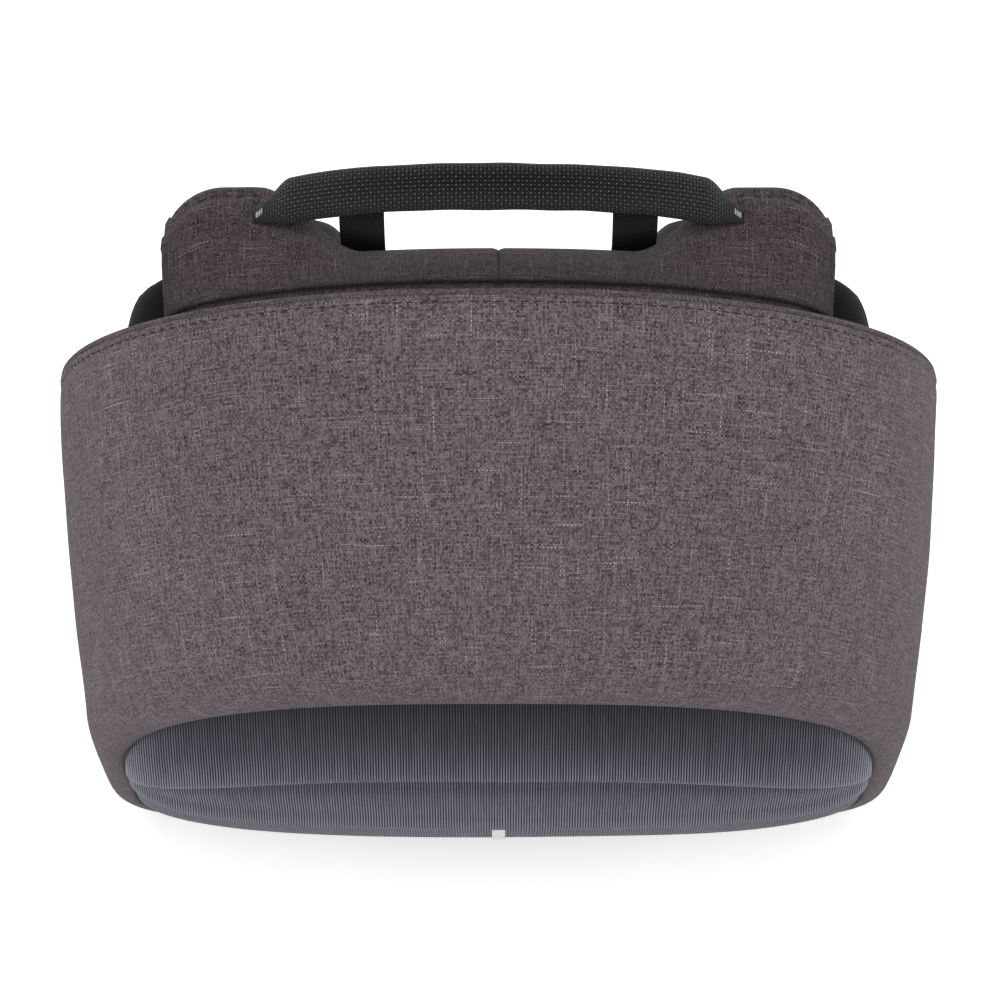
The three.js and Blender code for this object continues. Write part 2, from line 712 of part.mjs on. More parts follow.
function handleTabGeometry(side) {
  const inner = handleTabEdge(HANDLE_TAB_INNER);
  const outer = handleTabEdge(HANDLE_TAB_OUTER);
  return bandGeometry(inner.map((point, i) => {
    const before = inner[Math.max(0, i - 1)];
    const after = inner[Math.min(inner.length - 1, i + 1)];
    const along = after.clone().sub(before).normalize().multiplyScalar(HANDLE_TAB_THICKNESS);
    return {
      left: place(side * HANDLE_TAB_INNER, point.x, point.y),
      right: place(side * HANDLE_TAB_OUTER, outer[i].x, outer[i].y),
      through: new THREE.Vector3(0, -along.y, -along.x),
    };
  }));
}

const melange = new THREE.MeshStandardMaterial({ color: 0x645a5f, roughness: 0.95, metalness: 0 });
const ribbed = new THREE.MeshStandardMaterial({ color: 0x3c3c42, roughness: 0.7, metalness: 0 });
const mesh = new THREE.MeshStandardMaterial({ color: 0x1c1c1e, roughness: 0.9, metalness: 0 });
const webbing = new THREE.MeshStandardMaterial({ color: 0x222224, roughness: 0.8, metalness: 0 });
const plastic = new THREE.MeshStandardMaterial({ color: 0x18181a, roughness: 0.5, metalness: 0 });
const reflective = new THREE.MeshStandardMaterial({ color: 0xb9bcc0, roughness: 0.4, metalness: 0 });

const group = new THREE.Group();

function add(name, geometry, material) {
  const piece = new THREE.Mesh(geometry, material);
  piece.name = name;
  group.add(piece);
  return piece;
}

add('shell', shellGeometry(), melange);
add('rim_piping', pipingGeometry(), melange);
add('front_panel', frontPanelGeometry(), ribbed);
add('reflective_strip', reflectiveStripGeometry(), reflective);
add('back_panel', backPanelGeometry(), mesh);
add('handle_grip', handleGeometry(), webbing);

const liningFrom = STRAP_THICKNESS + 3 * CLEARANCE;
for (const [name, side] of [['left', -1], ['right', 1]]) {
  add(`yoke_${name}`, yokeGeometry(side), melange);
  add(`shoulder_strap_${name}`, strapGeometry(side, 0, STRAP_THICKNESS), melange);
  add(`strap_lining_${name}`, strapGeometry(side, liningFrom, liningFrom + LINING_THICKNESS), mesh);
  const buckle = add(`strap_buckle_${name}`, buckleGeometry(), plastic);
  buckle.position.copy(place(side * strapEnd.x, strapEnd.depth, strapEnd.z - BUCKLE_HEIGHT / 2));
  add(`strap_webbing_${name}`, webbingGeometry(side), webbing);
  add(`corner_tab_${name}`, cornerTabGeometry(side), melange);
  add(`handle_tab_${name}`, handleTabGeometry(side), webbing);
}

export default group;
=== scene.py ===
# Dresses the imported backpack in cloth, padding, seams, stitching, webbing and ladder locks.
# Metres, +Z up, the front faces -Y. Depth is counted forwards from the shell's back rim, as in the solids.

import math

import bpy
import numpy as np
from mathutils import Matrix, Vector
from mathutils.bvhtree import BVHTree
from mathutils.geometry import tessellate_polygon


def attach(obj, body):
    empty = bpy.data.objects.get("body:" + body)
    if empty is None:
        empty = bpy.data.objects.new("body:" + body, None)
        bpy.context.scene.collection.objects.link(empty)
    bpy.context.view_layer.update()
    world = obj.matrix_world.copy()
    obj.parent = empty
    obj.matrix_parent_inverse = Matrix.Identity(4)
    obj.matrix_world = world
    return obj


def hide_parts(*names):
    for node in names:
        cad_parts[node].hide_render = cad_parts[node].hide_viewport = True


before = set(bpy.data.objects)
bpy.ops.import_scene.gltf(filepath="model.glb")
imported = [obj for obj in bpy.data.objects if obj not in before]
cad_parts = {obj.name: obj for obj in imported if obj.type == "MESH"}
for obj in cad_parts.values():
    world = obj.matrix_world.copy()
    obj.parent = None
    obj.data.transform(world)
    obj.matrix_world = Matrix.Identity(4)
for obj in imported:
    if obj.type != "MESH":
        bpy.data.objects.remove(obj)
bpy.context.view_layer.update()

# Camera, fitted to the photograph
CAMERA_PLACE = (0.0005, -0.4220, 2.5522)
CAMERA_DIRECTION = (0, 0.19081, -0.98163)
CAMERA_LENS = 236.7
CAMERA_SENSOR = 36
CAMERA_REACH = 20

# Shell
SHELL_WIDTH = 0.303
SHELL_HEIGHT = 0.440
SHELL_DEPTH = 0.125
BASE_MIDDLE = 0.058
SHELL_WALL = 0.004
HOOD_DROP = 0.066
HOOD_POWER = 1.55
SHELL_NARROWING = 0.007
RIM_CURVE = 0.0075
RIM_SHOULDER = 0.124
RIM_SHOULDER_POWER = 2.6
FRONT_SHOULDER = 0.150
FRONT_SHOULDER_POWER = 2.8
RIM_FOOT = 0.045
FRONT_FOOT = 0.140
FRONT_FOOT_SPAN = 0.090
FOOT_POWER = 2.3
HEEL_LIFT = 0.002
HEEL_LENGTH = 0.008
TOE_LIFT = 0.007
TOE_LENGTH = 0.026
CHIN_RECESS = 0.011
CHIN_HEIGHT = 0.200
RIM_ROUNDING = 0.0012

# Opening of the shell and its lip
OPENING_WIDTH = 0.268
OPENING_TOP = 0.366
OPENING_BOTTOM = 0.030
OPENING_SHOULDER = 0.165
OPENING_SHOULDER_POWER = 2.8
OPENING_FOOT = 0.120
OPENING_FOOT_SPAN = 0.110
OPENING_FOOT_POWER = 2.4
LIP_ROLL = 0.013
LIP_THICKNESS = 0.004

# Front panel and its ribs
PANEL_TUCK = 0.0006
PANEL_RECESS = 0.003
PANEL_RISE = 0.024
PANEL_CROWN = 0.0068
PANEL_EDGE_POWER = 7
PANEL_FOOT_POWER = 1.2
BULGE_HEIGHT = 0.235
RIDGE_RELIEF = 0.0012
RIDGE_WIDTH = 0.02
RIB_PITCH = 0.00095
RIB_RELIEF = 0.0003
RIB_THREAD = 0.0007
HOOD_TUCK = 0.007
HOOD_TUCK_SHARE = 0.16
# Painted shadow under the hood, darkening the ribbed cloth's colour towards the panel's top
HOOD_SHADE_FROM = 0.245
HOOD_SHADE = 0.15
# Painted highlight along the panel's ridges, lightening the ribbed cloth's colour
RIDGE_HIGHLIGHT_WIDTH = 0.035
RIDGE_HIGHLIGHT = 0.7
FOLD_RELIEF = 0.0024
STRIP_WIDTH = 0.0048
STRIP_THICKNESS = 0.0006
STRIP_TOP = 0.232
STRIP_BOTTOM = 0.096
STRIP_EDGE = 0.0005
STRIP_LIFT = 0.0001

# Back panel
PLATE_CLEARANCE = 0.0012
PAD_WIDTH = 0.257
PAD_TOP = 0.384
PAD_BOTTOM = 0.106
PAD_THICKNESS = 0.024
PAD_SHOULDER = 0.066
PAD_SHOULDER_POWER = 5.5
PAD_FOOT = 0.055
CHANNEL_DEPTH = 0.007
CHANNEL_HALF_WIDTH = 0.011
CROSS_CHANNELS = (0.185, 0.255, 0.325)
CROSS_CHANNEL_SHARE = 0.75
CROSS_CHANNEL_WIDTH = 0.0055
CROSS_CHANNEL_CURVE = 1.953125
PAD_ROUNDING = 0.011
PLATE_EDGE = 0.003
PLATE_ROUNDING = 0.0004
PLATE_PUCKER = 0.0006
PLATE_SHRINK = 0.998
PLATE_LIFT = 0.0005

# Piping round the back rim, whose roll of cloth sits down into the rim
PIPING_RADIUS = 0.0014
PIPING_ROLL = 0.0012
PIPING_SINK = 0.0004

# Yoke and strap tops
YOKE_HALF_WIDTH = 0.111
YOKE_MIDDLE_DEPTH = 0.017
YOKE_EAR_DEPTH = 0.0395
YOKE_FOOT = 0.396
YOKE_RISE = 0.046
EAR_START = 0.044
EAR_END = 0.079
EAR_CORNER = 0.020
EAR_CORNER_FULLNESS = 0.96
EAR_SLOPE = 0.0075

# Shoulder straps
STRAP_THICKNESS = 0.008
LINING_THICKNESS = 0.0035
STRAP_BOTTOM = 0.150
STRAP_BOW = 0.014
STRAP_RELAXED = 0.16
STRAP_WIDTH = 0.060
STRAP_MIDDLE = 0.092
STRAP_SWING = 0.008
STRAP_CAP_SHARE = 0.9
STRAP_CAP_DROP = 0.0003

# Ladder locks, webbing and corner tabs
BUCKLE_WIDTH = 0.034
BUCKLE_HEIGHT = 0.024
BUCKLE_BAR = 0.0044
BUCKLE_CORNER = 0.0035
BUCKLE_DEPTH = 0.0046
CROSS_BAR = 0.0034
CROSS_BAR_OFFSET = 0.0006
CROSS_BAR_HEIGHTS = (0.0028, -0.0036)
LOOP_RADIUS = 0.0034
LOOP_HALF_WIDTH = 0.0105
LOOP_THICKNESS = 0.0014
WEBBING_WIDTH = 0.025
WEBBING_CLOTH = 0.0015
WEBBING_BELOW_LOCK = 0.002
TAB_LENGTH = 0.030
TAB_WIDTH = 0.029
TAB_CLOTH = 0.0032
TAB_TOP = 0.080
TAB_INSET = 0.034
TAB_MIDDLE = SHELL_WIDTH / 2 - TAB_INSET
TAB_STAND_OFF = 0.006
TAB_SPLAY = 0.004

# Handle
HANDLE_HALF_SPAN = 0.081
HANDLE_TOP = 0.470
HANDLE_ARCH = 0.030
HANDLE_ARCH_POWER = 2.6
HANDLE_BACK = 0.029
HANDLE_DRIFT = 0.0035
HANDLE_WIDTH = 0.015
HANDLE_THICKNESS = 0.012
HANDLE_END_WIDTH = 0.004
HANDLE_END_THICKNESS = 0.0024
HANDLE_TAPER_START = 0.84
HANDLE_END_CROWDING = 0.65
HANDLE_TAB_INNER = 0.0375
HANDLE_TAB_OUTER = 0.0525
HANDLE_TAB_THICKNESS = 0.0022
HANDLE_TAB_CLOTH = 0.00187
HANDLE_TAB_CURL = 0.003
HANDLE_TAB_BEND = 0.424
HANDLE_TAB_FOOT = 0.402

# Stitching
TACK_ROWS = 4
TACK_INSET = 0.0012
TACK_PITCH = 0.0006
TACK_REACH = 0.6
TACK_HEIGHT = 0.98
TACK_LIFT = 0.0001
STITCH_LENGTH = 0.0028
STITCH_PITCH = 0.0042
THREAD_RADIUS = 0.00028
RIM_SEAM = 0.0026
RIM_STITCH_INSET = 0.00055
RIM_STITCH_FLOOR = 0.004
STRAP_SEAM_SHARE = 0.84
STRAP_STITCH_LIFT = 0.00012
TAB_SEAM_SHARE = 0.14
TAB_STITCH_LIFT = 0.0002

# Slack, puckers and seam grooves of the cloth
SHELL_SLACK = 0.0009
SHELL_RIPPLE = 0.00035
PANEL_SLACK = 0.0007
PAD_SLACK = 0.0008
YOKE_SLACK = 0.0005
STRAP_SLACK = 0.0004
LINING_SLACK = 0.0002
TAB_SLACK = 0.0003
HANDLE_SLACK = 0.00035
PUCKER_RELIEF = 0.00022
PUCKER_REACH = 0.006
PUCKER_RATES = (420, 0, 430)
LOOSE_FROM_RIM = (0.0, 0.02)
TIGHT_AT_FRONT = (0.105, 0.122)
TIGHT_AT_FLOOR = (0.004, 0.05)
TIGHT_AT_HANDLE_END = (0.06, 0.08)
RIM_GROOVE = {"relief": -0.0007, "at": RIM_SEAM, "width": 0.0012}

CLEARANCE = 0.0004

# Mesh fineness
CORNER_STEPS = 160
HALF_OUTLINE_STEPS = 150
PANEL_ROWS = 70
STRIP_ROWS = 90
HANDLE_ROWS = 151
RIB_POINTS = 4
SPLINE_STEPS = 10


# Rows of a table, whose column names are given in one string
def table(columns, rows):
    return [dict(zip(columns.split(), row)) for row in rows]


def values_of(rows):
    return [list(row.values()) for row in rows]


def lerp(a, b, share):
    return a + (b - a) * share


def smoothstep(value, low, high):
    share = np.clip((value - low) / (high - low), 0, 1)
    return share * share * (3 - 2 * share)


def bump(value, middle, width):
    return np.exp(-(((value - middle) / width) ** 2))


def formed(value, form):
    return form["relief"] * bump(value, form["at"], form["width"])


def place(x, depth, z):
    return np.stack(np.broadcast_arrays(x, BASE_MIDDLE - depth, z), axis=-1).astype(float)


def corner_fall(share, power):
    return 1 - (1 - np.minimum(1, share) ** power) ** (1 / power)


# Gentle unevenness of soft goods, from a few waves that cross each other
def soft_waves(points, size, seed):
    total = np.zeros(points.shape[:-1])
    for k in range(6):
        turn = seed + 2.4 * k
        direction = np.array([math.cos(turn), math.sin(turn) * math.cos(1.7 * k), math.sin(1.7 * k + seed)])
        total += np.sin(points @ direction * (2 * math.pi / size) * (1 + 0.17 * k) + 1.9 * turn)
    return total / 6


# Points of a smooth curve through a list of points, closed or open
def spline(points, steps, closed=False):
    points = np.asarray(points, float)
    if closed:
        padded = np.concatenate([points[-1:], points, points[:2]])
        spans = len(points)
    else:
        padded = np.concatenate([2 * points[:1] - points[1:2], points, 2 * points[-1:] - points[-2:-1]])
        spans = len(points) - 1
    made = []
    for k in range(spans):
        before, start, end, after = padded[k:k + 4]
        for t in np.arange(steps) / steps:
            made.append(0.5 * (2 * start + (end - before) * t
                               + (2 * before - 5 * start + 4 * end - after) * t ** 2
                               + (3 * start - before - 3 * end + after) * t ** 3))
    if not closed:
        made.append(points[-1])
    return np.array(made)


def travelled(points):
    steps = np.linalg.norm(np.diff(points, axis=0), axis=1)
    return np.concatenate([[0], np.cumsum(steps)])


# Mesh object over a grid of points: rings[r][i], with cloth coordinates in metres along i and along r
def grid_object(name, rings, ring_closed=True, loop_closed=False, capped=False):
    rings = np.asarray(rings, float)
    count, width = rings.shape[:2]
    across = [rings[:, i % width] for i in range(width + (1 if ring_closed else 0))]
    longest = max(range(count), key=lambda r: np.linalg.norm(np.diff(rings[r], axis=0), axis=1).sum())
    u = travelled(np.array([column[longest] for column in across]))
    middle = np.concatenate([rings, rings[:1]]) if loop_closed else rings
    v = np.concatenate([[0], np.cumsum(np.linalg.norm(np.diff(middle, axis=0), axis=2).mean(axis=1))])
    faces = []
    coords = []
    for r in range(count if loop_closed else count - 1):
        below = r * width
        above = ((r + 1) % count) * width
        for i in range(width if ring_closed else width - 1):
            j = (i + 1) % width
            faces.append((below + i, below + j, above + j, above + i))
            coords.extend([(u[i], v[r]), (u[i + 1], v[r]), (u[i + 1], v[r + 1]), (u[i], v[r + 1])])
    if capped:
        for r, turned in ((0, True), (count - 1, False)):
            ring = [Vector(point) for point in rings[r]]
            for triangle in tessellate_polygon([ring]):
                corners = [r * width + i for i in triangle]
                faces.append(tuple(reversed(corners)) if turned else tuple(corners))
                coords.extend((u[i % width], v[r]) for i in triangle)
    mesh = bpy.data.meshes.new(name)
    mesh.from_pydata(rings.reshape(-1, 3), [], faces)
    layer = mesh.uv_layers.new(name="cloth")
    layer.data.foreach_set("uv", np.array(coords, float).ravel())
    return finished_object(name, mesh)


def finished_object(name, mesh):
    mesh.validate()
    mesh.polygons.foreach_set("use_smooth", np.ones(len(mesh.polygons), bool))
    obj = bpy.data.objects.new(name, mesh)
    bpy.context.scene.collection.objects.link(obj)
    return obj


# Turns the faces out where the rings ran the other way
def face_outwards(obj):
    points, _ = vertex_arrays(obj)
    volume = 0
    for face in obj.data.polygons:
        corners = points[list(face.vertices)]
        for k in range(1, len(corners) - 1):
            volume += corners[0] @ np.cross(corners[k], corners[k + 1])
    if volume < 0:
        obj.data.flip_normals()
    return obj


def closed_form(name, rings, **ways):
    return face_outwards(grid_object(name, rings, **ways))


def vertex_arrays(obj):
    mesh = obj.data
    points = np.empty(len(mesh.vertices) * 3)
    normals = np.empty(len(mesh.vertices) * 3)
    mesh.vertices.foreach_get("co", points)
    mesh.vertices.foreach_get("normal", normals)
    return points.reshape(-1, 3), normals.reshape(-1, 3)


# Moves each vertex along its normal by relief(points, normals)
def swell(obj, relief):
    points, normals = vertex_arrays(obj)
    moved = points + normals * relief(points, normals)[:, None]
    obj.data.vertices.foreach_set("co", moved.ravel())
    obj.data.update()
    return obj


def dress(obj, material, replaces=()):
    obj.data.materials.append(material)
    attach(obj, "root")
    if replaces:
        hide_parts(*replaces)
    return obj


# Procedural surface, built up from a few named steps
class Surface:
    def __init__(self, name, roughness, sheen=0.0, sheen_roughness=0.5, specular=0.5):
        self.material = bpy.data.materials.new(name)
        self.material.use_nodes = True
        self.nodes = self.material.node_tree.nodes
        self.links = self.material.node_tree.links
        self.shader = self.nodes["Principled BSDF"]
        self.shader.inputs["Roughness"].default_value = roughness
        self.shader.inputs["Sheen Weight"].default_value = sheen
        self.shader.inputs["Sheen Roughness"].default_value = sheen_roughness
        self.shader.inputs["Specular IOR Level"].default_value = specular

    def node(self, kind, inputs=None, **settings):
        made = self.nodes.new(kind)
        for key, value in settings.items():
            setattr(made, key, value)
        for key, value in (inputs or {}).items():
            self.feed(made.inputs[key], value)
        return made

    def feed(self, socket, value):
        if isinstance(value, bpy.types.NodeSocket):
            self.links.new(value, socket)
        else:
            socket.default_value = value

    def math(self, operation, a, b=0.0):
        return self.node("ShaderNodeMath", {0: a, 1: b}, operation=operation).outputs[0]

    def times(self, a, b):
        return self.math("MULTIPLY", a, b)

    # Sine or cosine of a value times a rate
    def wave(self, kind, value, rate):
        return self.math(kind, self.times(value, rate))

    def cloth_place(self):
        return self.node("ShaderNodeTexCoord").outputs["UV"]

    def object_place(self):
        return self.node("ShaderNodeTexCoord").outputs["Object"]

    def scaled(self, vector, scale):
        return self.node("ShaderNodeMapping", {"Vector": vector, "Scale": scale}).outputs[0]

    def part(self, vector, axis):
        return self.node("ShaderNodeSeparateXYZ", {0: vector}).outputs[axis]

    def noise(self, vector, scale=1.0, detail=2.0):
        made = self.node("ShaderNodeTexNoise", {"Vector": vector, "Scale": scale, "Detail": detail})
        return made.outputs[0]

    def spread(self, value, low, high, to_low=0.0, to_high=1.0):
        made = self.node("ShaderNodeMapRange", {0: value, 1: low, 2: high, 3: to_low, 4: to_high})
        return made.outputs[0]

    def mix(self, share, a, b):
        made = self.node("ShaderNodeMix", data_type="RGBA")
        self.feed(made.inputs[0], share)
        for socket, value in ((made.inputs[6], a), (made.inputs[7], b)):
            self.feed(socket, value)
        return made.outputs[2]

    def choose(self, share, a, b):
        return self.math("ADD", self.times(self.math("SUBTRACT", 1.0, share), a),
                         self.times(share, b))

    def paint(self, colour):
        self.feed(self.shader.inputs["Base Color"], colour)

    def emboss(self, height, distance):
        made = self.node("ShaderNodeBump", {"Height": height, "Distance": distance, "Strength": 1.0})
        self.links.new(made.outputs[0], self.shader.inputs["Normal"])


def srgb(red, green, blue):
    def linear(value):
        value = value / 255
        return value / 12.92 if value <= 0.04045 else ((value + 0.055) / 1.055) ** 2.4
    return (linear(red), linear(green), linear(blue), 1.0)


def shade_of(colour, factor):
    return (colour[0] * factor, colour[1] * factor, colour[2] * factor, 1)


# Rounded height of the cells of a grid, 1 in their middles and 0 at their borders
def cell_rounds(surface, cells):
    rounds = []
    for axis in (0, 1):
        rounds.append(surface.math("ABSOLUTE", surface.wave("SINE", surface.part(cells, axis), math.pi)))
    return surface.times(rounds[0], rounds[1])


# Share that is 1 where the upright yarn is on top of a plain weave, and the height of the yarn on top
def weave(surface, cells):
    over = surface.node("ShaderNodeTexChecker", {
        "Vector": cells, "Scale": 1.0, "Color1": (1, 1, 1, 1), "Color2": (0, 0, 0, 1),
    }).outputs[1]
    return over, cell_rounds(surface, cells)


# Cloth of mixed yarns: each yarn has its own tone and slubs that run along it
def melange_material(name, dark, middle, light, pitch=0.0007):
    surface = Surface(name, roughness=0.95, sheen=0.08, sheen_roughness=0.5, specular=0.12)
    at = surface.cloth_place()
    cells = surface.scaled(at, (1 / pitch, 1 / pitch, 1.0))
    over, height = weave(surface, cells)
    cell = surface.node("ShaderNodeVectorMath", {0: cells}, operation="FLOOR").outputs[0]
    speckle = surface.node("ShaderNodeTexWhiteNoise", {"Vector": cell}).outputs["Value"]

    # Noise drawn out along whichever yarn is on top
    def along_yarns(fine, drawn_out, detail, low, high):
        made = []
        for scale in ((fine, drawn_out, 1), (drawn_out, fine, 1)):
            made.append(surface.spread(surface.noise(surface.scaled(at, scale), detail=detail), low, high))
        return surface.choose(over, made[1], made[0])

    yarn_tone = along_yarns(fine=1600, drawn_out=110, detail=3.0, low=0.34, high=0.66)
    slub = along_yarns(fine=1300, drawn_out=42, detail=1.0, low=0.64, high=0.84)
    tone = surface.times(surface.math("ADD", yarn_tone, speckle), 0.5)
    yarn = surface.mix(slub, surface.mix(tone, dark, middle), light)
    # Painted shade in the crevices between the yarns
    crevice_shade = surface.spread(height, 0.0, 0.55, 0.62, 1.0)
    patch = surface.spread(surface.noise(surface.object_place(), scale=9.0), 0.3, 0.7, 0.93, 1.07)
    shade = surface.times(crevice_shade, patch)
    shaded = surface.node("ShaderNodeVectorMath", {0: yarn, "Scale": shade}, operation="SCALE")
    surface.paint(shaded.outputs[0])
    surface.emboss(surface.math("ADD", height, surface.times(slub, 0.7)), distance=0.00022)
    return surface.material


# Upright ribs, dark between them and paler on top, with a fine cross weave, a painted shadow under the hood
# and a painted highlight along the ridges
def ribbed_material(name, dark, light):
    surface = Surface(name, roughness=0.7, sheen=0.45, sheen_roughness=0.14, specular=0.06)
    surface.shader.inputs["Sheen Tint"].default_value = (0.85, 0.85, 1.0, 1.0)
    at = surface.object_place()
    crest = surface.spread(surface.wave("COSINE", surface.part(at, 0), 2 * math.pi / RIB_PITCH), -0.8, 1.0)
    upright = surface.noise(surface.scaled(at, (1500, 20, 40)), detail=2.0)
    tone = surface.times(crest, surface.spread(upright, 0.3, 0.7, 0.75, 1.2))
    thread = surface.wave("SINE", surface.part(at, 2), 2 * math.pi / RIB_THREAD)
    # Painted shadow of the hood: the colour darkens towards the top of the panel
    hood_shadow = surface.spread(surface.part(at, 2), HOOD_SHADE_FROM, OPENING_TOP, 1.0, HOOD_SHADE)
    # Painted highlight along the ridges of the panel's folds
    ridge_highlight = surface.node("ShaderNodeAttribute", attribute_name="ridge").outputs["Fac"]
    shade = surface.times(hood_shadow, surface.spread(ridge_highlight, 0.0, 1.0, 1.0, 1 + RIDGE_HIGHLIGHT))
    surface.paint(surface.mix(surface.times(tone, shade), dark, light))
    surface.emboss(surface.times(thread, crest), distance=0.00005)
    return surface.material


# Black spacer mesh with rows of small openings
def mesh_material(name, dark, light, pitch=0.0021, row_share=0.62):
    surface = Surface(name, roughness=0.9, sheen=0.03, sheen_roughness=0.5, specular=0.1)
    at = surface.cloth_place()
    cells = surface.scaled(at, (1 / pitch, 1 / (row_share * pitch), 1.0))
    hole = surface.spread(cell_rounds(surface, cells), 0.45, 0.75)
    fuzz = surface.spread(surface.noise(surface.scaled(at, (2600, 2600, 1))), 0.3, 0.7, 0.0, 0.45)
    surface.paint(surface.mix(hole, surface.mix(fuzz, dark, light), shade_of(dark, 0.3)))
    surface.emboss(surface.math("SUBTRACT", 1.0, hole), distance=0.0006)
    return surface.material


# Heavy basket weave whose yarns catch the light as rows of dots
def ballistic_material(name, dark, light, pitch=0.00135):
    surface = Surface(name, roughness=0.6, sheen=0.02, sheen_roughness=0.4, specular=0.2)
    at = surface.cloth_place()
    over, height = weave(surface, surface.scaled(at, (1 / pitch, 1 / pitch, 1.0)))
    fibre = surface.noise(surface.scaled(at, (5200, 900, 1)), detail=2.0)
    glint = surface.times(surface.spread(height, 0.62, 0.98),
                         surface.spread(fibre, 0.35, 0.65, 0.35, 1.0))
    seen = surface.times(glint, surface.spread(over, 0.0, 1.0, 0.3, 1.0))
    surface.paint(surface.mix(seen, dark, light))
    surface.emboss(height, distance=0.0005)
    return surface.material


# Flat woven tape with a herringbone across it
def tape_material(name, dark, light, pitch=0.0011):
    surface = Surface(name, roughness=0.75, sheen=0.02, sheen_roughness=0.4, specular=0.15)
    at = surface.cloth_place()
    across = surface.math("ABSOLUTE", surface.wave("SINE", surface.part(at, 0), math.pi / (3 * pitch)))
    slope = surface.math("ADD", surface.times(surface.part(at, 1), 2 * math.pi / pitch),
                         surface.times(across, 4.0))
    height = surface.spread(surface.math("SINE", slope), -1.0, 1.0)
    surface.paint(surface.mix(height, dark, light))
    surface.emboss(height, distance=0.0003)
    return surface.material


# Moulded plastic with a fine sparked grain
def plastic_material(name, colour):
    surface = Surface(name, roughness=0.45, specular=0.5)
    at = surface.object_place()
    grain = surface.noise(at, scale=2600.0, detail=2.0)
    surface.feed(surface.shader.inputs["Roughness"], surface.spread(grain, 0.3, 0.7, 0.38, 0.56))
    clouds = surface.spread(surface.noise(at, scale=60.0), 0.3, 0.7)
    surface.paint(surface.mix(clouds, colour, shade_of(colour, 1.6)))
    surface.emboss(grain, distance=0.00006)
    return surface.material


# Silver tape made of tiny glass beads
def reflective_material(name, dark, light, pitch=0.0012):
    surface = Surface(name, roughness=0.36, specular=0.6)
    surface.shader.inputs["Metallic"].default_value = 0.35
    at = surface.object_place()
    bead = surface.node("ShaderNodeTexVoronoi", {"Vector": at, "Scale": 2200.0}).outputs["Distance"]
    rib = surface.wave("COSINE", surface.part(at, 2), 2 * math.pi / pitch)
    surface.paint(surface.mix(surface.spread(bead, 0.1, 0.6), light, dark))
    surface.emboss(surface.math("SUBTRACT", surface.times(rib, 0.4), bead), distance=0.00008)
    return surface.material


def thread_material(name, colour):
    surface = Surface(name, roughness=0.55, specular=0.4)
    twist = surface.noise(surface.object_place(), scale=1800.0, detail=1.0)
    surface.paint(surface.mix(surface.spread(twist, 0.3, 0.7), shade_of(colour, 0.6), colour))
    surface.emboss(twist, distance=0.0001)
    return surface.material


melange = melange_material("melange_cloth", srgb(24, 17, 21), srgb(134, 120, 127), srgb(192, 182, 188))
yoke_cloth = melange_material("yoke_cloth", srgb(22, 15, 19), srgb(95, 84, 90), srgb(158, 147, 153))
piping_cloth = melange_material("piping_cloth", srgb(40, 31, 36), srgb(116, 104, 110), srgb(158, 147, 153))
ribbed = ribbed_material("ribbed_cloth", srgb(11, 11, 15), srgb(124, 123, 136))
mesh_cloth = mesh_material("mesh_cloth", srgb(9, 9, 10), srgb(30, 30, 32))
ballistic = ballistic_material("ballistic_weave", srgb(9, 9, 10), srgb(98, 98, 101))
tape = tape_material("woven_tape", srgb(7, 7, 8), srgb(26, 26, 28))
plastic = plastic_material("black_plastic", srgb(18, 18, 20))
reflective = reflective_material("reflective_tape", srgb(148, 150, 154), srgb(200, 202, 206))
dark_thread = thread_material("dark_thread", srgb(26, 22, 24))
pale_thread = thread_material("pale_thread", srgb(176, 172, 170))


# Upright outline with superelliptic shoulders and feet, evenly stepped from the bottom middle
def outline(shape, half_steps=HALF_OUTLINE_STEPS):
    angle = np.linspace(0, math.pi / 2, CORNER_STEPS)
    shoulder = 2 / shape["shoulder_power"]
    foot = 2 / shape["foot_power"]
    x = np.concatenate([
        shape["half"] * np.sin(angle) ** shoulder,
        shape["half"] - shape["foot_span"] * (1 - np.cos(angle) ** foot),
        [0],
    ])
    z = np.concatenate([
        shape["top"] - shape["shoulder"] * (1 - np.cos(angle) ** shoulder),
        shape["bottom"] + shape["foot"] * (1 - np.sin(angle) ** foot),
        [shape["bottom"]],
    ])
    length = travelled(np.column_stack([x, z]))
    even = np.linspace(0, length[-1], half_steps + 1)
    right = np.column_stack([np.interp(even, length, x), np.interp(even, length, z)])
    return np.concatenate([right[::-1], right[1:-1] * (-1, 1)])


def shell_shape(share, inset=0.0):
    heel = max(0, 1 - share * SHELL_DEPTH / HEEL_LENGTH)
    toe = max(0, 1 - (1 - share) * SHELL_DEPTH / TOE_LENGTH)
    return {
        "half": SHELL_WIDTH / 2 - SHELL_NARROWING * share ** 2 - inset,
        "top": SHELL_HEIGHT - HOOD_DROP * share ** HOOD_POWER - inset,
        "bottom": HEEL_LIFT * heel ** 2 + TOE_LIFT * toe ** 2 + inset,
        "shoulder": lerp(RIM_SHOULDER, FRONT_SHOULDER, share) - inset,
        "shoulder_power": lerp(RIM_SHOULDER_POWER, FRONT_SHOULDER_POWER, share),
        "foot": lerp(RIM_FOOT, FRONT_FOOT, share) - inset,
        "foot_span": lerp(RIM_FOOT, FRONT_FOOT_SPAN, share) - inset,
        "foot_power": FOOT_POWER,
    }


OPENING_SHAPE = {
    "half": OPENING_WIDTH / 2,
    "top": OPENING_TOP,
    "bottom": OPENING_BOTTOM,
    "shoulder": OPENING_SHOULDER,
    "shoulder_power": OPENING_SHOULDER_POWER,
    "foot": OPENING_FOOT,
    "foot_span": OPENING_FOOT_SPAN,
    "foot_power": OPENING_FOOT_POWER,
}


def rim_curve(x):
    return RIM_CURVE * (2 * x / SHELL_WIDTH) ** 2


def rim_drop(x):
    return RIM_SHOULDER * corner_fall(2 * np.abs(x) / SHELL_WIDTH, RIM_SHOULDER_POWER)


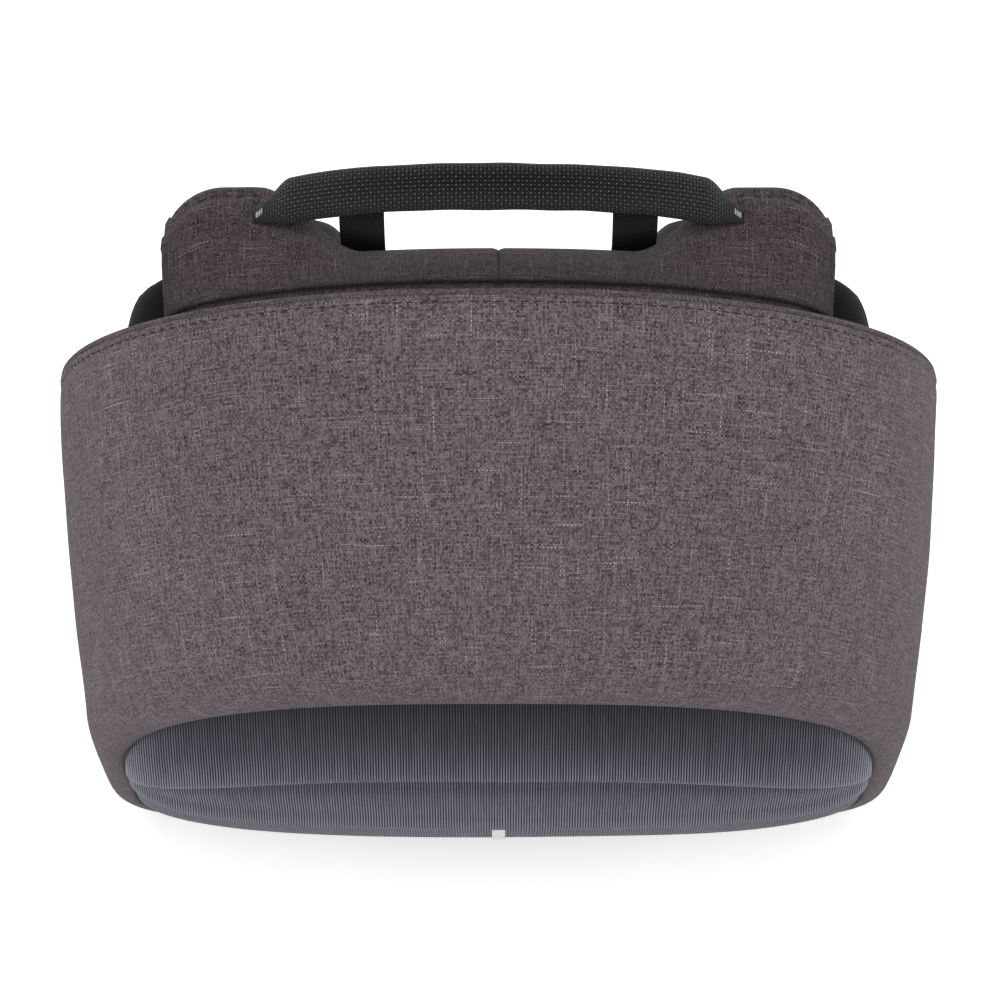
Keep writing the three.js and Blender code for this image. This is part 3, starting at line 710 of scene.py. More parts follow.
def shell_depth_at(share, x, z):
    chin = np.maximum(0, 1 - z / CHIN_HEIGHT)
    return SHELL_DEPTH * share + rim_curve(x) * (1 - share) ** 2 - CHIN_RECESS * share ** 3 * chin ** 2


def shell_ring(share, inset=0.0):
    x, z = outline(shell_shape(share, inset)).T
    return place(x, shell_depth_at(share, x, z), z)


def opening_ring(set_back=0.0):
    x, z = outline(OPENING_SHAPE).T
    return place(x, shell_depth_at(1, x, z) - set_back, z)


def rolled_ring(start, corner, end, share):
    return start * (1 - share) ** 2 + corner * 2 * share * (1 - share) + end * share ** 2


# Padded tub with a soft rounded rim and a lip that rolls in to the front opening
def make_shell():
    roll_start = 1 - LIP_ROLL / SHELL_DEPTH
    outer_corner = shell_ring(1)
    inner_corner = shell_ring(1, SHELL_WALL)
    inner_corner[:, 1] += LIP_THICKNESS
    inner_start = shell_ring(roll_start, SHELL_WALL)
    rings = [shell_ring(0, RIM_ROUNDING)]
    for share in np.concatenate([[0.004, 0.012, 0.024, 0.04], np.linspace(0.06, roll_start, 26)]):
        rings.append(shell_ring(share))
    for share in np.linspace(0, 1, 16)[1:]:
        rings.append(rolled_ring(shell_ring(roll_start), outer_corner, opening_ring(), share))
    for share in np.linspace(0, 1, 8)[:-1]:
        rings.append(rolled_ring(opening_ring(LIP_THICKNESS), inner_corner, inner_start, share))
    for share in np.linspace(roll_start, 0, 8):
        rings.append(shell_ring(share, SHELL_WALL))
    shell = closed_form("shell_cloth", rings, loop_closed=True)

    # Slack of the padded cloth, quiet near the floor, with small puckers along the rim stitching
    def relief(points, normals):
        depth = BASE_MIDDLE - points[:, 1]
        slack = SHELL_SLACK * soft_waves(points, size=0.115, seed=1.3)
        slack = slack + SHELL_RIPPLE * soft_waves(points, size=0.041, seed=4.1)
        pucker = PUCKER_RELIEF * np.sin(points @ PUCKER_RATES) * np.exp(-depth / PUCKER_REACH)
        loose = smoothstep(depth, *LOOSE_FROM_RIM) * (1 - smoothstep(depth, *TIGHT_AT_FRONT))
        groove = formed(depth - rim_curve(points[:, 0]), RIM_GROOVE)
        return smoothstep(points[:, 2], *TIGHT_AT_FLOOR) * (slack * loose + pucker) + groove
    swell(shell, relief)
    return dress(shell, melange, ["shell"])


def opening_top_at(x):
    share = np.abs(x) / OPENING_SHAPE["half"]
    return OPENING_TOP - OPENING_SHOULDER * corner_fall(share, OPENING_SHOULDER_POWER)


def opening_bottom_at(x):
    share = np.maximum(0, (np.abs(x) - OPENING_SHAPE["half"] + OPENING_FOOT_SPAN) / OPENING_FOOT_SPAN)
    return OPENING_BOTTOM + OPENING_FOOT * corner_fall(share, OPENING_FOOT_POWER)


# Ridges of the front panel, as shares of the way up from its bottom edge to its top edge
RIDGES = table("up groove", [(0.81, 0.775), (0.62, 0.585)])


def ridged(up, groove_share=1):
    return sum(bump(up, ridge["up"], RIDGE_WIDTH) - groove_share * bump(up, ridge["groove"], RIDGE_WIDTH)
               for ridge in RIDGES)


def panel_depth(x, up, z):
    edge = shell_depth_at(1, x, z) - PANEL_RECESS
    above = np.clip((OPENING_TOP - z) / (OPENING_TOP - BULGE_HEIGHT), 0, 1)
    below = np.clip((BULGE_HEIGHT - z) / (BULGE_HEIGHT - OPENING_BOTTOM), 0, 1)
    swelled = np.where(z > BULGE_HEIGHT, np.sin(math.pi / 2 * above),
                       np.cos(math.pi / 2 * below) ** PANEL_FOOT_POWER)
    across = np.minimum(1, np.abs(x) / OPENING_SHAPE["half"])
    sideways = 1 - across ** PANEL_EDGE_POWER
    upwards = 1 - np.abs(2 * up - 1) ** PANEL_EDGE_POWER
    rise = (PANEL_RISE - PANEL_CROWN * across ** 2) * swelled + RIDGE_RELIEF * ridged(up, across)
    return edge + rise * np.sqrt(np.maximum(0, sideways * upwards))


# Ribbed cloth on the bulging form
def make_front_panel():
    shrink = (OPENING_SHAPE["half"] + PANEL_TUCK) / OPENING_SHAPE["half"]
    ribs = round(OPENING_WIDTH / RIB_PITCH) // 2
    x = np.arange(-RIB_POINTS * ribs, RIB_POINTS * ribs + 1) * (RIB_PITCH / RIB_POINTS)
    x = x[np.abs(x) < OPENING_SHAPE["half"] * shrink]
    up = 0.5 - 0.5 * np.cos(math.pi * np.linspace(0, 1, PANEL_ROWS))
    low = opening_bottom_at(x / shrink) - PANEL_TUCK
    high = opening_top_at(x / shrink) + PANEL_TUCK
    z = lerp(low[:, None], high[:, None], up)
    grid_x = np.broadcast_to(x[:, None], z.shape)
    flat = place(grid_x, panel_depth(grid_x, up, z), z)
    rib = RIB_RELIEF * (0.5 + 0.5 * np.cos(2 * math.pi * grid_x / RIB_PITCH))
    slack = PANEL_SLACK * soft_waves(flat, size=0.16, seed=2.2) * np.sin(math.pi * up)
    fold = FOLD_RELIEF * ridged(up)
    tuck = HOOD_TUCK * smoothstep(up, 1 - HOOD_TUCK_SHARE, 1)
    points = place(grid_x, BASE_MIDDLE - flat[..., 1] + rib + slack + fold - tuck, z)
    panel = grid_object("front_panel_cloth", points, ring_closed=False)
    # Painted highlight along the ridges, kept for the ribbed cloth's colour
    ridge_highlight = sum(bump(up, ridge["up"], RIDGE_HIGHLIGHT_WIDTH) for ridge in RIDGES)
    layer = panel.data.attributes.new("ridge", "FLOAT", "POINT")
    layer.data.foreach_set("value", np.broadcast_to(ridge_highlight, z.shape).ravel())
    face_front(panel)
    return dress(panel, ribbed, ["front_panel"])


# Turns an open sheet's faces towards -Y
def face_front(obj):
    if sum(face.normal.y * face.area for face in obj.data.polygons) > 0:
        obj.data.flip_normals()


def make_reflective_strip():
    half = STRIP_WIDTH / 2
    flat = half - STRIP_EDGE
    profile = [(-half, 0), (-half, 0.7), (-flat, 1), (flat, 1), (half, 0.7), (half, 0)]
    rings = []
    for z in np.linspace(STRIP_BOTTOM, STRIP_TOP, STRIP_ROWS):
        up = (z - OPENING_BOTTOM) / (OPENING_TOP - OPENING_BOTTOM)
        base = panel_depth(np.array([0.0]), up, z)[0] + RIB_RELIEF + STRIP_LIFT
        rings.append([place(x, base + STRIP_THICKNESS * out, z) for x, out in profile])
    strip = closed_form("reflective_ribbon", rings, capped=True)
    return dress(strip, reflective, ["reflective_strip"])


# Back padding: two long pads beside a channel, with cross channels, on a flat cloth backing
def make_back_panel():
    plate = outline(shell_shape(0, SHELL_WALL + PLATE_CLEARANCE))
    pad_middle = (PAD_TOP + PAD_BOTTOM) / 2

    def pad_outline(gap):
        return outline({
            "half": PAD_WIDTH / 2 - gap,
            "top": PAD_TOP - gap,
            "bottom": PAD_BOTTOM + gap,
            "shoulder": PAD_SHOULDER,
            "shoulder_power": PAD_SHOULDER_POWER,
            "foot": PAD_FOOT,
            "foot_span": PAD_FOOT,
            "foot_power": FOOT_POWER,
        })

    def flat_ring(points, forwards):
        x, z = points.T
        return place(x, rim_curve(x) + forwards, z)

    rings = [flat_ring(plate, PLATE_EDGE), flat_ring(plate, PLATE_ROUNDING)]
    rings.append(flat_ring(plate * PLATE_SHRINK + (0, PLATE_LIFT), 0))
    edge = pad_outline(0)
    for share in np.linspace(0.1, 1, 8):
        rings.append(flat_ring(lerp(plate, edge, share), -PLATE_PUCKER * math.sin(math.pi * share)))
    for angle in np.linspace(0, math.pi / 2, 12)[1:]:
        gap = PAD_ROUNDING * (1 - math.cos(angle))
        x, z = pad_outline(gap).T
        back = math.sin(angle) ** 0.8
        rings.append(place(x, lerp(rim_curve(x), -PAD_THICKNESS, back), z))
    last = pad_outline(PAD_ROUNDING)
    for share in np.linspace(1, 0.002, 60)[1:]:
        x = last[:, 0] * share
        z = pad_middle + (last[:, 1] - pad_middle) * share
        rings.append(place(x, np.full_like(x, -PAD_THICKNESS), z))
    panel = closed_form("back_padding", rings, capped=True)

    def relief(points, normals):
        x, y, z = points.T
        on_face = smoothstep(y - BASE_MIDDLE, PAD_THICKNESS * 0.8, PAD_THICKNESS)
        channel = bump(x, 0, CHANNEL_HALF_WIDTH)
        for height in CROSS_CHANNELS:
            curve = height + CROSS_CHANNEL_CURVE * x ** 2
            channel = np.maximum(channel, CROSS_CHANNEL_SHARE * bump(z, curve, CROSS_CHANNEL_WIDTH))
        return on_face * (PAD_SLACK * soft_waves(points, size=0.07, seed=3.0) - CHANNEL_DEPTH * channel)
    swell(panel, relief)
    return dress(panel, mesh_cloth, ["back_panel"])


def make_piping():
    middle = outline(shell_shape(0, PIPING_RADIUS))
    before = np.roll(middle, 1, axis=0)
    after = np.roll(middle, -1, axis=0)
    outwards = np.column_stack([after[:, 1] - before[:, 1], before[:, 0] - after[:, 0]])
    outwards /= np.linalg.norm(outwards, axis=1)[:, None]
    sides = 12
    rings = []
    for k in range(sides):
        angle = 2 * math.pi * k / sides
        out = PIPING_ROLL * math.cos(angle)
        back = PIPING_ROLL * (1 + math.sin(angle)) - PIPING_SINK
        x = middle[:, 0] + outwards[:, 0] * out
        rings.append(place(x, rim_curve(middle[:, 0]) - back, middle[:, 1] + outwards[:, 1] * out))
    piping = closed_form("rim_piping_cloth", rings, loop_closed=True)
    return dress(piping, piping_cloth, ["rim_piping"])


# Profile of a stitch along its length: shares of its half length and of the thread's radius
STITCH_PROFILE = table("reach girth rise", [
    (-1.0, 0.15, -0.9),
    (-0.8, 0.8, -0.2),
    (0.0, 1.0, 0.25),
    (0.8, 0.8, -0.2),
    (1.0, 0.15, -0.9),
])


# Runs of stitches along paths: each stitch is a small rounded thread that dips at its ends
def make_stitches(name, runs, material, length=STITCH_LENGTH, pitch=STITCH_PITCH, radius=THREAD_RADIUS):
    sides = 6
    vertices = []
    faces = []
    for path, lift in runs:
        distance = travelled(path)
        for start in np.arange(pitch / 2, distance[-1] - pitch / 2, pitch):
            middle = np.array([np.interp(start, distance, path[:, axis]) for axis in range(3)])
            ahead = np.array([np.interp(start + length / 2, distance, path[:, axis]) for axis in range(3)])
            up = np.array([np.interp(start, distance, lift[:, axis]) for axis in range(3)])
            along = ahead - middle
            along /= np.linalg.norm(along)
            side = np.cross(up, along)
            side /= np.linalg.norm(side)
            up = np.cross(along, side)
            base = len(vertices)
            for row in STITCH_PROFILE:
                centre = middle + along * row["reach"] * length / 2 + up * row["rise"] * radius
                for k in range(sides):
                    angle = 2 * math.pi * k / sides
                    out = side * math.cos(angle) + up * math.sin(angle)
                    vertices.append(centre + radius * row["girth"] * out)
            for r in range(len(STITCH_PROFILE) - 1):
                for k in range(sides):
                    j = (k + 1) % sides
                    faces.append((base + r * sides + k, base + r * sides + j,
                                  base + (r + 1) * sides + j, base + (r + 1) * sides + k))
            faces.append(tuple(base + k for k in reversed(range(sides))))
            faces.append(tuple(base + (len(STITCH_PROFILE) - 1) * sides + k for k in range(sides)))
    mesh = bpy.data.meshes.new(name)
    mesh.from_pydata(vertices, [], faces)
    stitches = face_outwards(finished_object(name, mesh))
    return dress(stitches, material)


# Run of stitches on a surface that faces one way all along
def level_run(path, facing):
    return np.array(path), np.tile(np.array(facing, float), (len(path), 1))


def make_rim_stitches():
    ring = shell_ring(RIM_SEAM / SHELL_DEPTH, RIM_STITCH_INSET)
    lift = ring - (0, BASE_MIDDLE - RIM_SEAM, SHELL_HEIGHT / 2)
    lift[:, 1] = 0
    lift /= np.linalg.norm(lift, axis=1)[:, None]
    stitched = np.flatnonzero(ring[:, 2] > RIM_STITCH_FLOOR)
    run = slice(stitched[0], stitched[-1] + 1)
    return make_stitches("rim_stitching", [(ring[run], lift[run])], dark_thread)


# Sections of the yoke at the middle seam and through the ear: shares of its depth and of its rise,
# and how far each point follows the fall of the back rim
YOKE_SECTIONS = table("middle_back middle_up ear_back ear_up rim", [
    (0.04, 0.04, 0.02, 0.04, 1),
    (0.04, 0.67, 0.02, 0.67, 1),
    (0.27, 0.8, 0.11, 0.8, 1),
    (0.3, 0.93, 0.14, 0.94, 1),
    (0.5, 1, 0.34, 0.99, 0.7),
    (0.73, 0.985, 0.58, 0.95, 0.1),
    (0.92, 0.9, 0.8, 0.92, 0),
    (1, 0.75, 0.96, 0.76, 0),
    (1, 0.48, 1, 0.44, 0),
    (0.94, 0.1, 1, 0, 0),
    (0.76, 0.02, 0.68, 0, 0),
    (0.62, 0.01, 0.68, 0.34, 0),
    (0.48, 0.005, 0.54, 0.55, 0.2),
    (0.36, 0.005, 0.36, 0.6, 0.6),
    (0.2, 0.01, 0.22, 0.04, 1),
])


def ear_share(x):
    return smoothstep(np.abs(x), EAR_START, EAR_END)


def ear_corner(x):
    past = np.maximum(0, (np.abs(x) - YOKE_HALF_WIDTH + EAR_CORNER) / EAR_CORNER)
    return 1 - np.sqrt(np.maximum(0, 1 - EAR_CORNER_FULLNESS * past ** 2))


def yoke_reach(x):
    return lerp(YOKE_MIDDLE_DEPTH, YOKE_EAR_DEPTH, ear_share(x)) - EAR_CORNER * ear_corner(x)


def yoke_foot_at(x):
    return YOKE_FOOT - (1 - ear_share(x)) * rim_drop(x)


def yoke_section(x):
    ear = ear_share(x)
    corner = ear_corner(x)
    squeeze = 1 - EAR_CORNER * corner / YOKE_EAR_DEPTH
    points = []
    for row in YOKE_SECTIONS:
        follow = lerp(1, row["rim"], ear)
        back = lerp(row["middle_back"] * YOKE_MIDDLE_DEPTH, row["ear_back"] * YOKE_EAR_DEPTH * squeeze, ear)
        up = YOKE_RISE * lerp(row["middle_up"], row["ear_up"], ear)
        sink = EAR_SLOPE * corner * row["ear_up"]
        points.append(place(x, follow * rim_curve(x) - back, YOKE_FOOT + up - follow * rim_drop(x) - sink))
    return spline(points, SPLINE_STEPS, closed=True)


# Crease of the ear where the strap is sewn on, from its top edge to its lower end, seen from above
CREASE = {"x": (0.0790, 0.0862), "depth": (-0.0325, -0.0205)}
CREASE_END = 0.002
CREASE_GROOVE = {"relief": -0.0018, "at": 0, "width": 0.0012}
CREASE_SWELLING = {"relief": 0.0009, "at": 0.0034, "width": 0.0018}

# Folded edge along the back of the ear
EDGE_SEAM_INSET = 0.0055
EDGE_GROOVE = {"relief": -0.0015, "at": EDGE_SEAM_INSET, "width": 0.0013}
EDGE_SWELLING = {"relief": 0.0007, "at": 0.0028, "width": 0.0018}
EDGE_START = 0.068
EDGE_FULL = 0.080

# Rings of a yoke half next to the middle seam, drawn in to round it, and its rounded outer end
YOKE_SEAM_ROUNDING = (0.93, 0.955, 0.98)
YOKE_END = 0.012
YOKE_CAP_SHARE = 0.97
YOKE_CAP_REACH = 0.0007


def make_yoke(name, side):
    stations = np.concatenate([
        [0, 0.0004, 0.001, 0.002],
        np.linspace(0.004, EAR_START, 12),
        np.linspace(EAR_START, YOKE_HALF_WIDTH - YOKE_END, 82)[1:],
        YOKE_HALF_WIDTH - YOKE_END * np.cos(np.linspace(0, math.pi / 2, 12))[1:],
    ])
    rings = [yoke_section(side * x) for x in stations]
    for ring, drawn_in in enumerate(YOKE_SEAM_ROUNDING):
        rings[ring] = lerp(rings[ring].mean(axis=0), rings[ring], drawn_in)
    end = rings[-1]
    rings.append(lerp(end.mean(axis=0), end, YOKE_CAP_SHARE) + (side * YOKE_CAP_REACH, 0, 0))
    yoke = closed_form(f"yoke_cloth_{name}", rings, capped=True)

    def relief(points, normals):
        x = np.abs(points[:, 0])
        depth = BASE_MIDDLE - points[:, 1]
        start, end = CREASE["depth"]
        beside = x - lerp(*CREASE["x"], np.clip((depth - start) / (end - start), 0, 1))
        past = np.maximum(0, np.maximum(start - depth, depth - end))
        crease = formed(beside, CREASE_GROOVE) + formed(beside, CREASE_SWELLING)
        from_edge = depth + yoke_reach(x)
        folded = formed(from_edge, EDGE_GROOVE) + formed(from_edge, EDGE_SWELLING)
        folded = folded * smoothstep(x, EDGE_START, EDGE_FULL)
        slack = YOKE_SLACK * soft_waves(points, size=0.034, seed=2.0 + side)
        on_top = smoothstep(normals[:, 2], 0.2, 0.6)
        return on_top * (crease * np.exp(-past / CREASE_END) + folded + slack)
    swell(yoke, relief)
    dress(yoke, yoke_cloth, [f"yoke_{name}"])
    share = np.linspace(0, 1, 12)
    edge_x = side * np.linspace(EAR_END, YOKE_HALF_WIDTH - EAR_CORNER / 2, 12)
    runs = [
        stitched_line(yoke, side * lerp(*CREASE["x"], share), lerp(*CREASE["depth"], share)),
        stitched_line(yoke, edge_x, EDGE_SEAM_INSET - yoke_reach(edge_x)),
    ]
    return make_stitches(f"yoke_stitching_{name}", runs, dark_thread)


# Path over the top of a piece above the given places, with the way its surface faces
def stitched_line(obj, x, depth):
    surface = BVHTree.FromPolygons([vertex.co for vertex in obj.data.vertices],
                                   [tuple(face.vertices) for face in obj.data.polygons])
    path = []
    lift = []
    for start in place(x, depth, SHELL_HEIGHT + YOKE_RISE):
        met, normal, _, _ = surface.ray_cast(Vector(start), Vector((0, 0, -1)))
        path.append(met)
        lift.append(normal if normal.z > 0 else -normal)
    return np.array(path), np.array(lift)


# Course of a shoulder strap from the yoke down: shares of its drop, its bow, its swing and its width
STRAP_COURSE = table("down bow swing width", [
    (0, 0, 0.25, 0.62),
    (0.06, 0.1, 0.25, 0.65),
    (0.14, 0.32, 0.38, 0.81),
    (0.26, 0.66, 0.75, 0.94),
    (0.42, 0.94, 1, 1),
    (0.58, 1, 1, 0.98),
    (0.74, 0.86, 0.75, 0.87),
    (0.88, 0.56, 0.38, 0.73),
    (0.97, 0.34, 0.12, 0.63),
    (1, 0.28, 0, 0.54),
])
STRAP_ROWS = spline(values_of(STRAP_COURSE), 9)


# Point of a strap at one row of its course, a share of the half width out, and a distance in from its face
def strap_point(side, row, share, inwards):
    down, bow, swing, width = row
    x = STRAP_MIDDLE - STRAP_SWING * swing + share * width * STRAP_WIDTH / 2
    above = yoke_reach(np.minimum(x, YOKE_HALF_WIDTH - EAR_CORNER / 2))
    reach = lerp(above, YOKE_EAR_DEPTH, smoothstep(down, 0, STRAP_RELAXED)) + STRAP_BOW * bow
    z = lerp(yoke_foot_at(x) - CLEARANCE, STRAP_BOTTOM, np.clip(down, 0, 1))
    return place(side * x, inwards - reach, z)


def make_strap_pad(name, side, start, end, material, replaced, waves):
    angle = np.linspace(0, 2 * math.pi, 48, endpoint=False)
    share = np.sign(np.cos(angle)) * np.abs(np.cos(angle)) ** (2 / 6)
    deep = np.sign(np.sin(angle)) * np.abs(np.sin(angle)) ** (2 / 3)
    inwards = lerp(start, end, 0.5 - 0.5 * deep)
    rings = [strap_point(side, row, share, inwards) for row in STRAP_ROWS]
    first = rings[0].mean(axis=0)
    last = rings[-1].mean(axis=0)
    rings.insert(0, lerp(first, rings[0], STRAP_CAP_SHARE))
    rings.append(lerp(last, rings[-1], STRAP_CAP_SHARE) - (0, 0, STRAP_CAP_DROP))
    strap = closed_form(name, rings, capped=True)

    def relief(points, normals):
        flat = smoothstep(np.abs(normals[:, 1]), 0.5, 0.9)
        return waves * soft_waves(points, size=0.045, seed=2.6 + side) * flat
    swell(strap, relief)
    return dress(strap, material, [replaced])


# Section of a strap's binding beside its face: shares of the strap's half width, and distances in
BINDING_OUTSIDE = [(0.9, -0.0004), (0.985, -0.0005), (1.03, 0.0016)]
BINDING_INSIDE = [(0.905, 0.0002), (0.98, 0.0004), (1.0, 0.002)]


# Narrow cloth binding folded over both edges of a strap and its lining
def make_binding(name, side, edge):
    total = STRAP_THICKNESS + 3 * CLEARANCE + LINING_THICKNESS
    section = BINDING_OUTSIDE + [(1.045, total / 2)]
    section += [(share, total - inwards) for share, inwards in reversed(BINDING_OUTSIDE)]
    section += [(share, total - inwards) for share, inwards in BINDING_INSIDE]
    section += [(1.015, total / 2)] + BINDING_INSIDE[::-1]
    rings = []
    for row in STRAP_ROWS:
        rings.append([strap_point(side, row, edge * share, inwards) for share, inwards in section])
    binding = closed_form(name, rings, capped=True)
    return dress(binding, tape)


def make_strap_stitches(name, side):
    runs = []
    for share in (-STRAP_SEAM_SHARE, STRAP_SEAM_SHARE):
        path = [strap_point(side, row, share, -STRAP_STITCH_LIFT) for row in STRAP_ROWS]
        runs.append(level_run(path, (0, 1, 0)))
    return make_stitches(f"strap_stitching_{name}", runs, dark_thread)


# Left edge, right edge and way through a band, from the x, depth and z along its middle line
def band_course(side, path, half_width):
    x, depth, z = np.array(path).T
    _, forwards, rise = np.gradient(np.array(path), axis=0).T
    left = place(side * (x - half_width), depth, z)
    right = place(side * (x + half_width), depth, z)
    return left, right, np.column_stack([np.zeros(len(x)), rise, forwards])


# Band of woven tape: rounded flat sections between a left and a right edge path
def make_band(name, course, thickness, material, replaces=()):
    flat = np.linspace(0.02, 0.98, 9)
    section = [(share, 0.5) for share in flat] + [(1, 0.2), (1, -0.2)]
    section += [(share, -0.5) for share in flat[::-1]] + [(0, -0.2), (0, 0.2)]
    rings = []
    for start, end, normal in zip(*course):
        across = normal / np.linalg.norm(normal) * thickness
        rings.append([lerp(start, end, share) + across * up for share, up in section])
    band = closed_form(name, rings, capped=True)
    return dress(band, material, replaces)


STRAP_END_DEPTH = STRAP_THICKNESS / 2 - YOKE_EAR_DEPTH - STRAP_BOW * STRAP_COURSE[-1]["bow"]
BUCKLE_TOP = STRAP_BOTTOM - CLEARANCE


# Tube along a closed or open path in the X-Z plane, with a rounded rectangular section
def make_bar(name, path, wide, deep, closed):
    path = np.asarray(path, float)
    if closed:
        ahead = np.roll(path, -1, axis=0) - np.roll(path, 1, axis=0)
    else:
        ahead = np.gradient(path, axis=0)
    ahead /= np.linalg.norm(ahead, axis=1)[:, None]
    across = np.cross(ahead, (0, 1, 0))
    angle = np.linspace(0, 2 * math.pi, 16, endpoint=False)
    sideways = np.sign(np.cos(angle)) * np.abs(np.cos(angle)) ** 0.5 * wide / 2
    backwards = np.sign(np.sin(angle)) * np.abs(np.sin(angle)) ** 0.5 * deep / 2
    rings = []
    for point, side in zip(path, across):
        rings.append(point + np.outer(sideways, side) + np.outer(backwards, (0, 1, 0)))
    return closed_form(name, rings, loop_closed=closed, capped=not closed)


def make_ladder_lock(name, side):
    middle = place(side * STRAP_MIDDLE, STRAP_END_DEPTH, BUCKLE_TOP - BUCKLE_HEIGHT / 2)
    half = BUCKLE_WIDTH / 2 - BUCKLE_BAR / 2
    reach = BUCKLE_HEIGHT / 2 - BUCKLE_BAR / 2
    frame_path = []
    for corner, (turn_x, turn_z) in enumerate(((1, 1), (-1, 1), (-1, -1), (1, -1))):
        for angle in np.linspace(0, math.pi / 2, 7):
            swing = angle + corner * math.pi / 2
            frame_path.append(middle + (
                turn_x * (half - BUCKLE_CORNER) + BUCKLE_CORNER * math.cos(swing), 0,
                turn_z * (reach - BUCKLE_CORNER) + BUCKLE_CORNER * math.sin(swing)))
    pieces = [make_bar(f"ladder_lock_{name}", frame_path, BUCKLE_BAR, BUCKLE_DEPTH, True)]
    for number, height in enumerate(CROSS_BAR_HEIGHTS):
        path = [middle + (x, CROSS_BAR_OFFSET, height) for x in np.linspace(-half, half, 9)]
        pieces.append(make_bar(f"ladder_bar_{number}_{name}", path, CROSS_BAR, CROSS_BAR, False))
    for k, piece in enumerate(pieces):
        dress(piece, plastic, [f"strap_buckle_{name}"] if k == 0 else ())


# Leg of the strap loop: how far it lies from the loop's middle and how high above the ladder lock's bar
LOOP_LEG = [(LOOP_RADIUS, 0.018), (0.0036, 0.009), (0.0036, 0.003)]


# Short loop of tape that holds the ladder lock in the end of the strap
def make_strap_loop(name, side):
    turn = np.linspace(0, math.pi, 9)
    points = [(-back, rise) for back, rise in LOOP_LEG]
    points += [(-LOOP_RADIUS * math.cos(angle), -LOOP_RADIUS * math.sin(angle)) for angle in turn]
    points += LOOP_LEG[::-1]
    bar = BUCKLE_TOP - BUCKLE_BAR / 2
    path = [(side * STRAP_MIDDLE, STRAP_END_DEPTH - back, bar + rise) for back, rise in points]
    course = band_course(1, path, LOOP_HALF_WIDTH)
    return make_band(f"strap_loop_{name}", course, LOOP_THICKNESS, tape)


# Webbing inside the ladder lock: how far it lies behind the strap's middle and above the lock's lower edge
WEBBING_TOP = [(0.0026, 0.0125), (0.0034, 0.007), (0.0014, 0.002)]


def make_webbing(name, side):
    top = BUCKLE_TOP - BUCKLE_HEIGHT - CLEARANCE
    path = [(STRAP_MIDDLE, STRAP_END_DEPTH - back, top + rise) for back, rise in WEBBING_TOP]
    for share in np.linspace(0, 1, 26):
        ease = smoothstep(share, 0, 1)
        path.append((lerp(STRAP_MIDDLE, TAB_MIDDLE, ease), lerp(STRAP_END_DEPTH, -TAB_STAND_OFF, ease),
                     lerp(top - WEBBING_BELOW_LOCK, TAB_TOP + CLEARANCE, share)))
    course = band_course(side, path, WEBBING_WIDTH / 2)
    return make_band(f"webbing_{name}", course, WEBBING_CLOTH, tape,
                     [f"strap_webbing_{name}"])


# Corner tab from its top down: shares of its length and width, and of how far it stands off
TAB_ROWS = table("down width off", [(0, 1, 1), (0.4, 0.93, 0.75), (1, 0.43, 0.38)])


def make_corner_tab(name, side):
    down, width, off = spline(values_of(TAB_ROWS), 8).T
    x = TAB_MIDDLE + TAB_SPLAY * down
    path = np.column_stack([x, rim_curve(x) - TAB_STAND_OFF * off, TAB_TOP - TAB_LENGTH * down])
    left, right, _ = band_course(side, path, width * TAB_WIDTH / 2)
    through = np.tile([0.0, 1.0, 0.0], (len(path), 1))
    tab = make_band(f"corner_tab_cloth_{name}", (left, right, through), TAB_CLOTH, yoke_cloth,
                    [f"corner_tab_{name}"])
    swell(tab, lambda points, normals: TAB_SLACK * soft_waves(points, size=0.02, seed=1.0))
    outwards = (0, TAB_CLOTH / 2 + TAB_STITCH_LIFT, 0)
    runs = []
    for share in (TAB_SEAM_SHARE, 1 - TAB_SEAM_SHARE):
        runs.append(level_run(lerp(left, right, share) + outwards, (0, 1, 0)))
    return make_stitches(f"corner_tab_stitching_{name}", runs, dark_thread,
                         pitch=0.0034, length=0.0023)


# Section of the handle, as shares of its half width and half thickness
HANDLE_SECTION = table("back up", [
    (-1, -0.1),
    (-0.86, 0.5),
    (-0.35, 0.95),
    (0.3, 1),
    (0.85, 0.6),
    (1, -0.1),
    (0.85, -0.75),
    (0.2, -1),
    (-0.5, -0.95),
    (-0.93, -0.65),
])


def handle_line(x):
    share = np.abs(x) / HANDLE_HALF_SPAN
    taper = smoothstep(share, HANDLE_TAPER_START, 1)
    return {
        "back": HANDLE_BACK - HANDLE_DRIFT * taper,
        "up": HANDLE_TOP - HANDLE_ARCH * share ** HANDLE_ARCH_POWER,
        "half_width": lerp(HANDLE_WIDTH, HANDLE_END_WIDTH, taper) / 2,
        "half_thickness": lerp(HANDLE_THICKNESS, HANDLE_END_THICKNESS, taper) / 2,
    }


def make_handle():
    section = spline(values_of(HANDLE_SECTION), 5, closed=True)
    rings = []
    for turn in np.linspace(-1, 1, HANDLE_ROWS):
        x = HANDLE_HALF_SPAN * lerp(turn, math.sin(math.pi / 2 * turn), HANDLE_END_CROWDING)
        line = handle_line(x)
        rings.append(place(x, -line["back"] - section[:, 0] * line["half_width"],
                           line["up"] + section[:, 1] * line["half_thickness"]))
    handle = closed_form("handle_grip_cloth", rings, capped=True)

    def relief(points, normals):
        away_from_ends = 1 - smoothstep(np.abs(points[:, 0]), *TIGHT_AT_HANDLE_END)
        return HANDLE_SLACK * soft_waves(points, size=0.03, seed=5.0) * away_from_ends
    swell(handle, relief)
    return dress(handle, ballistic, ["handle_grip"])


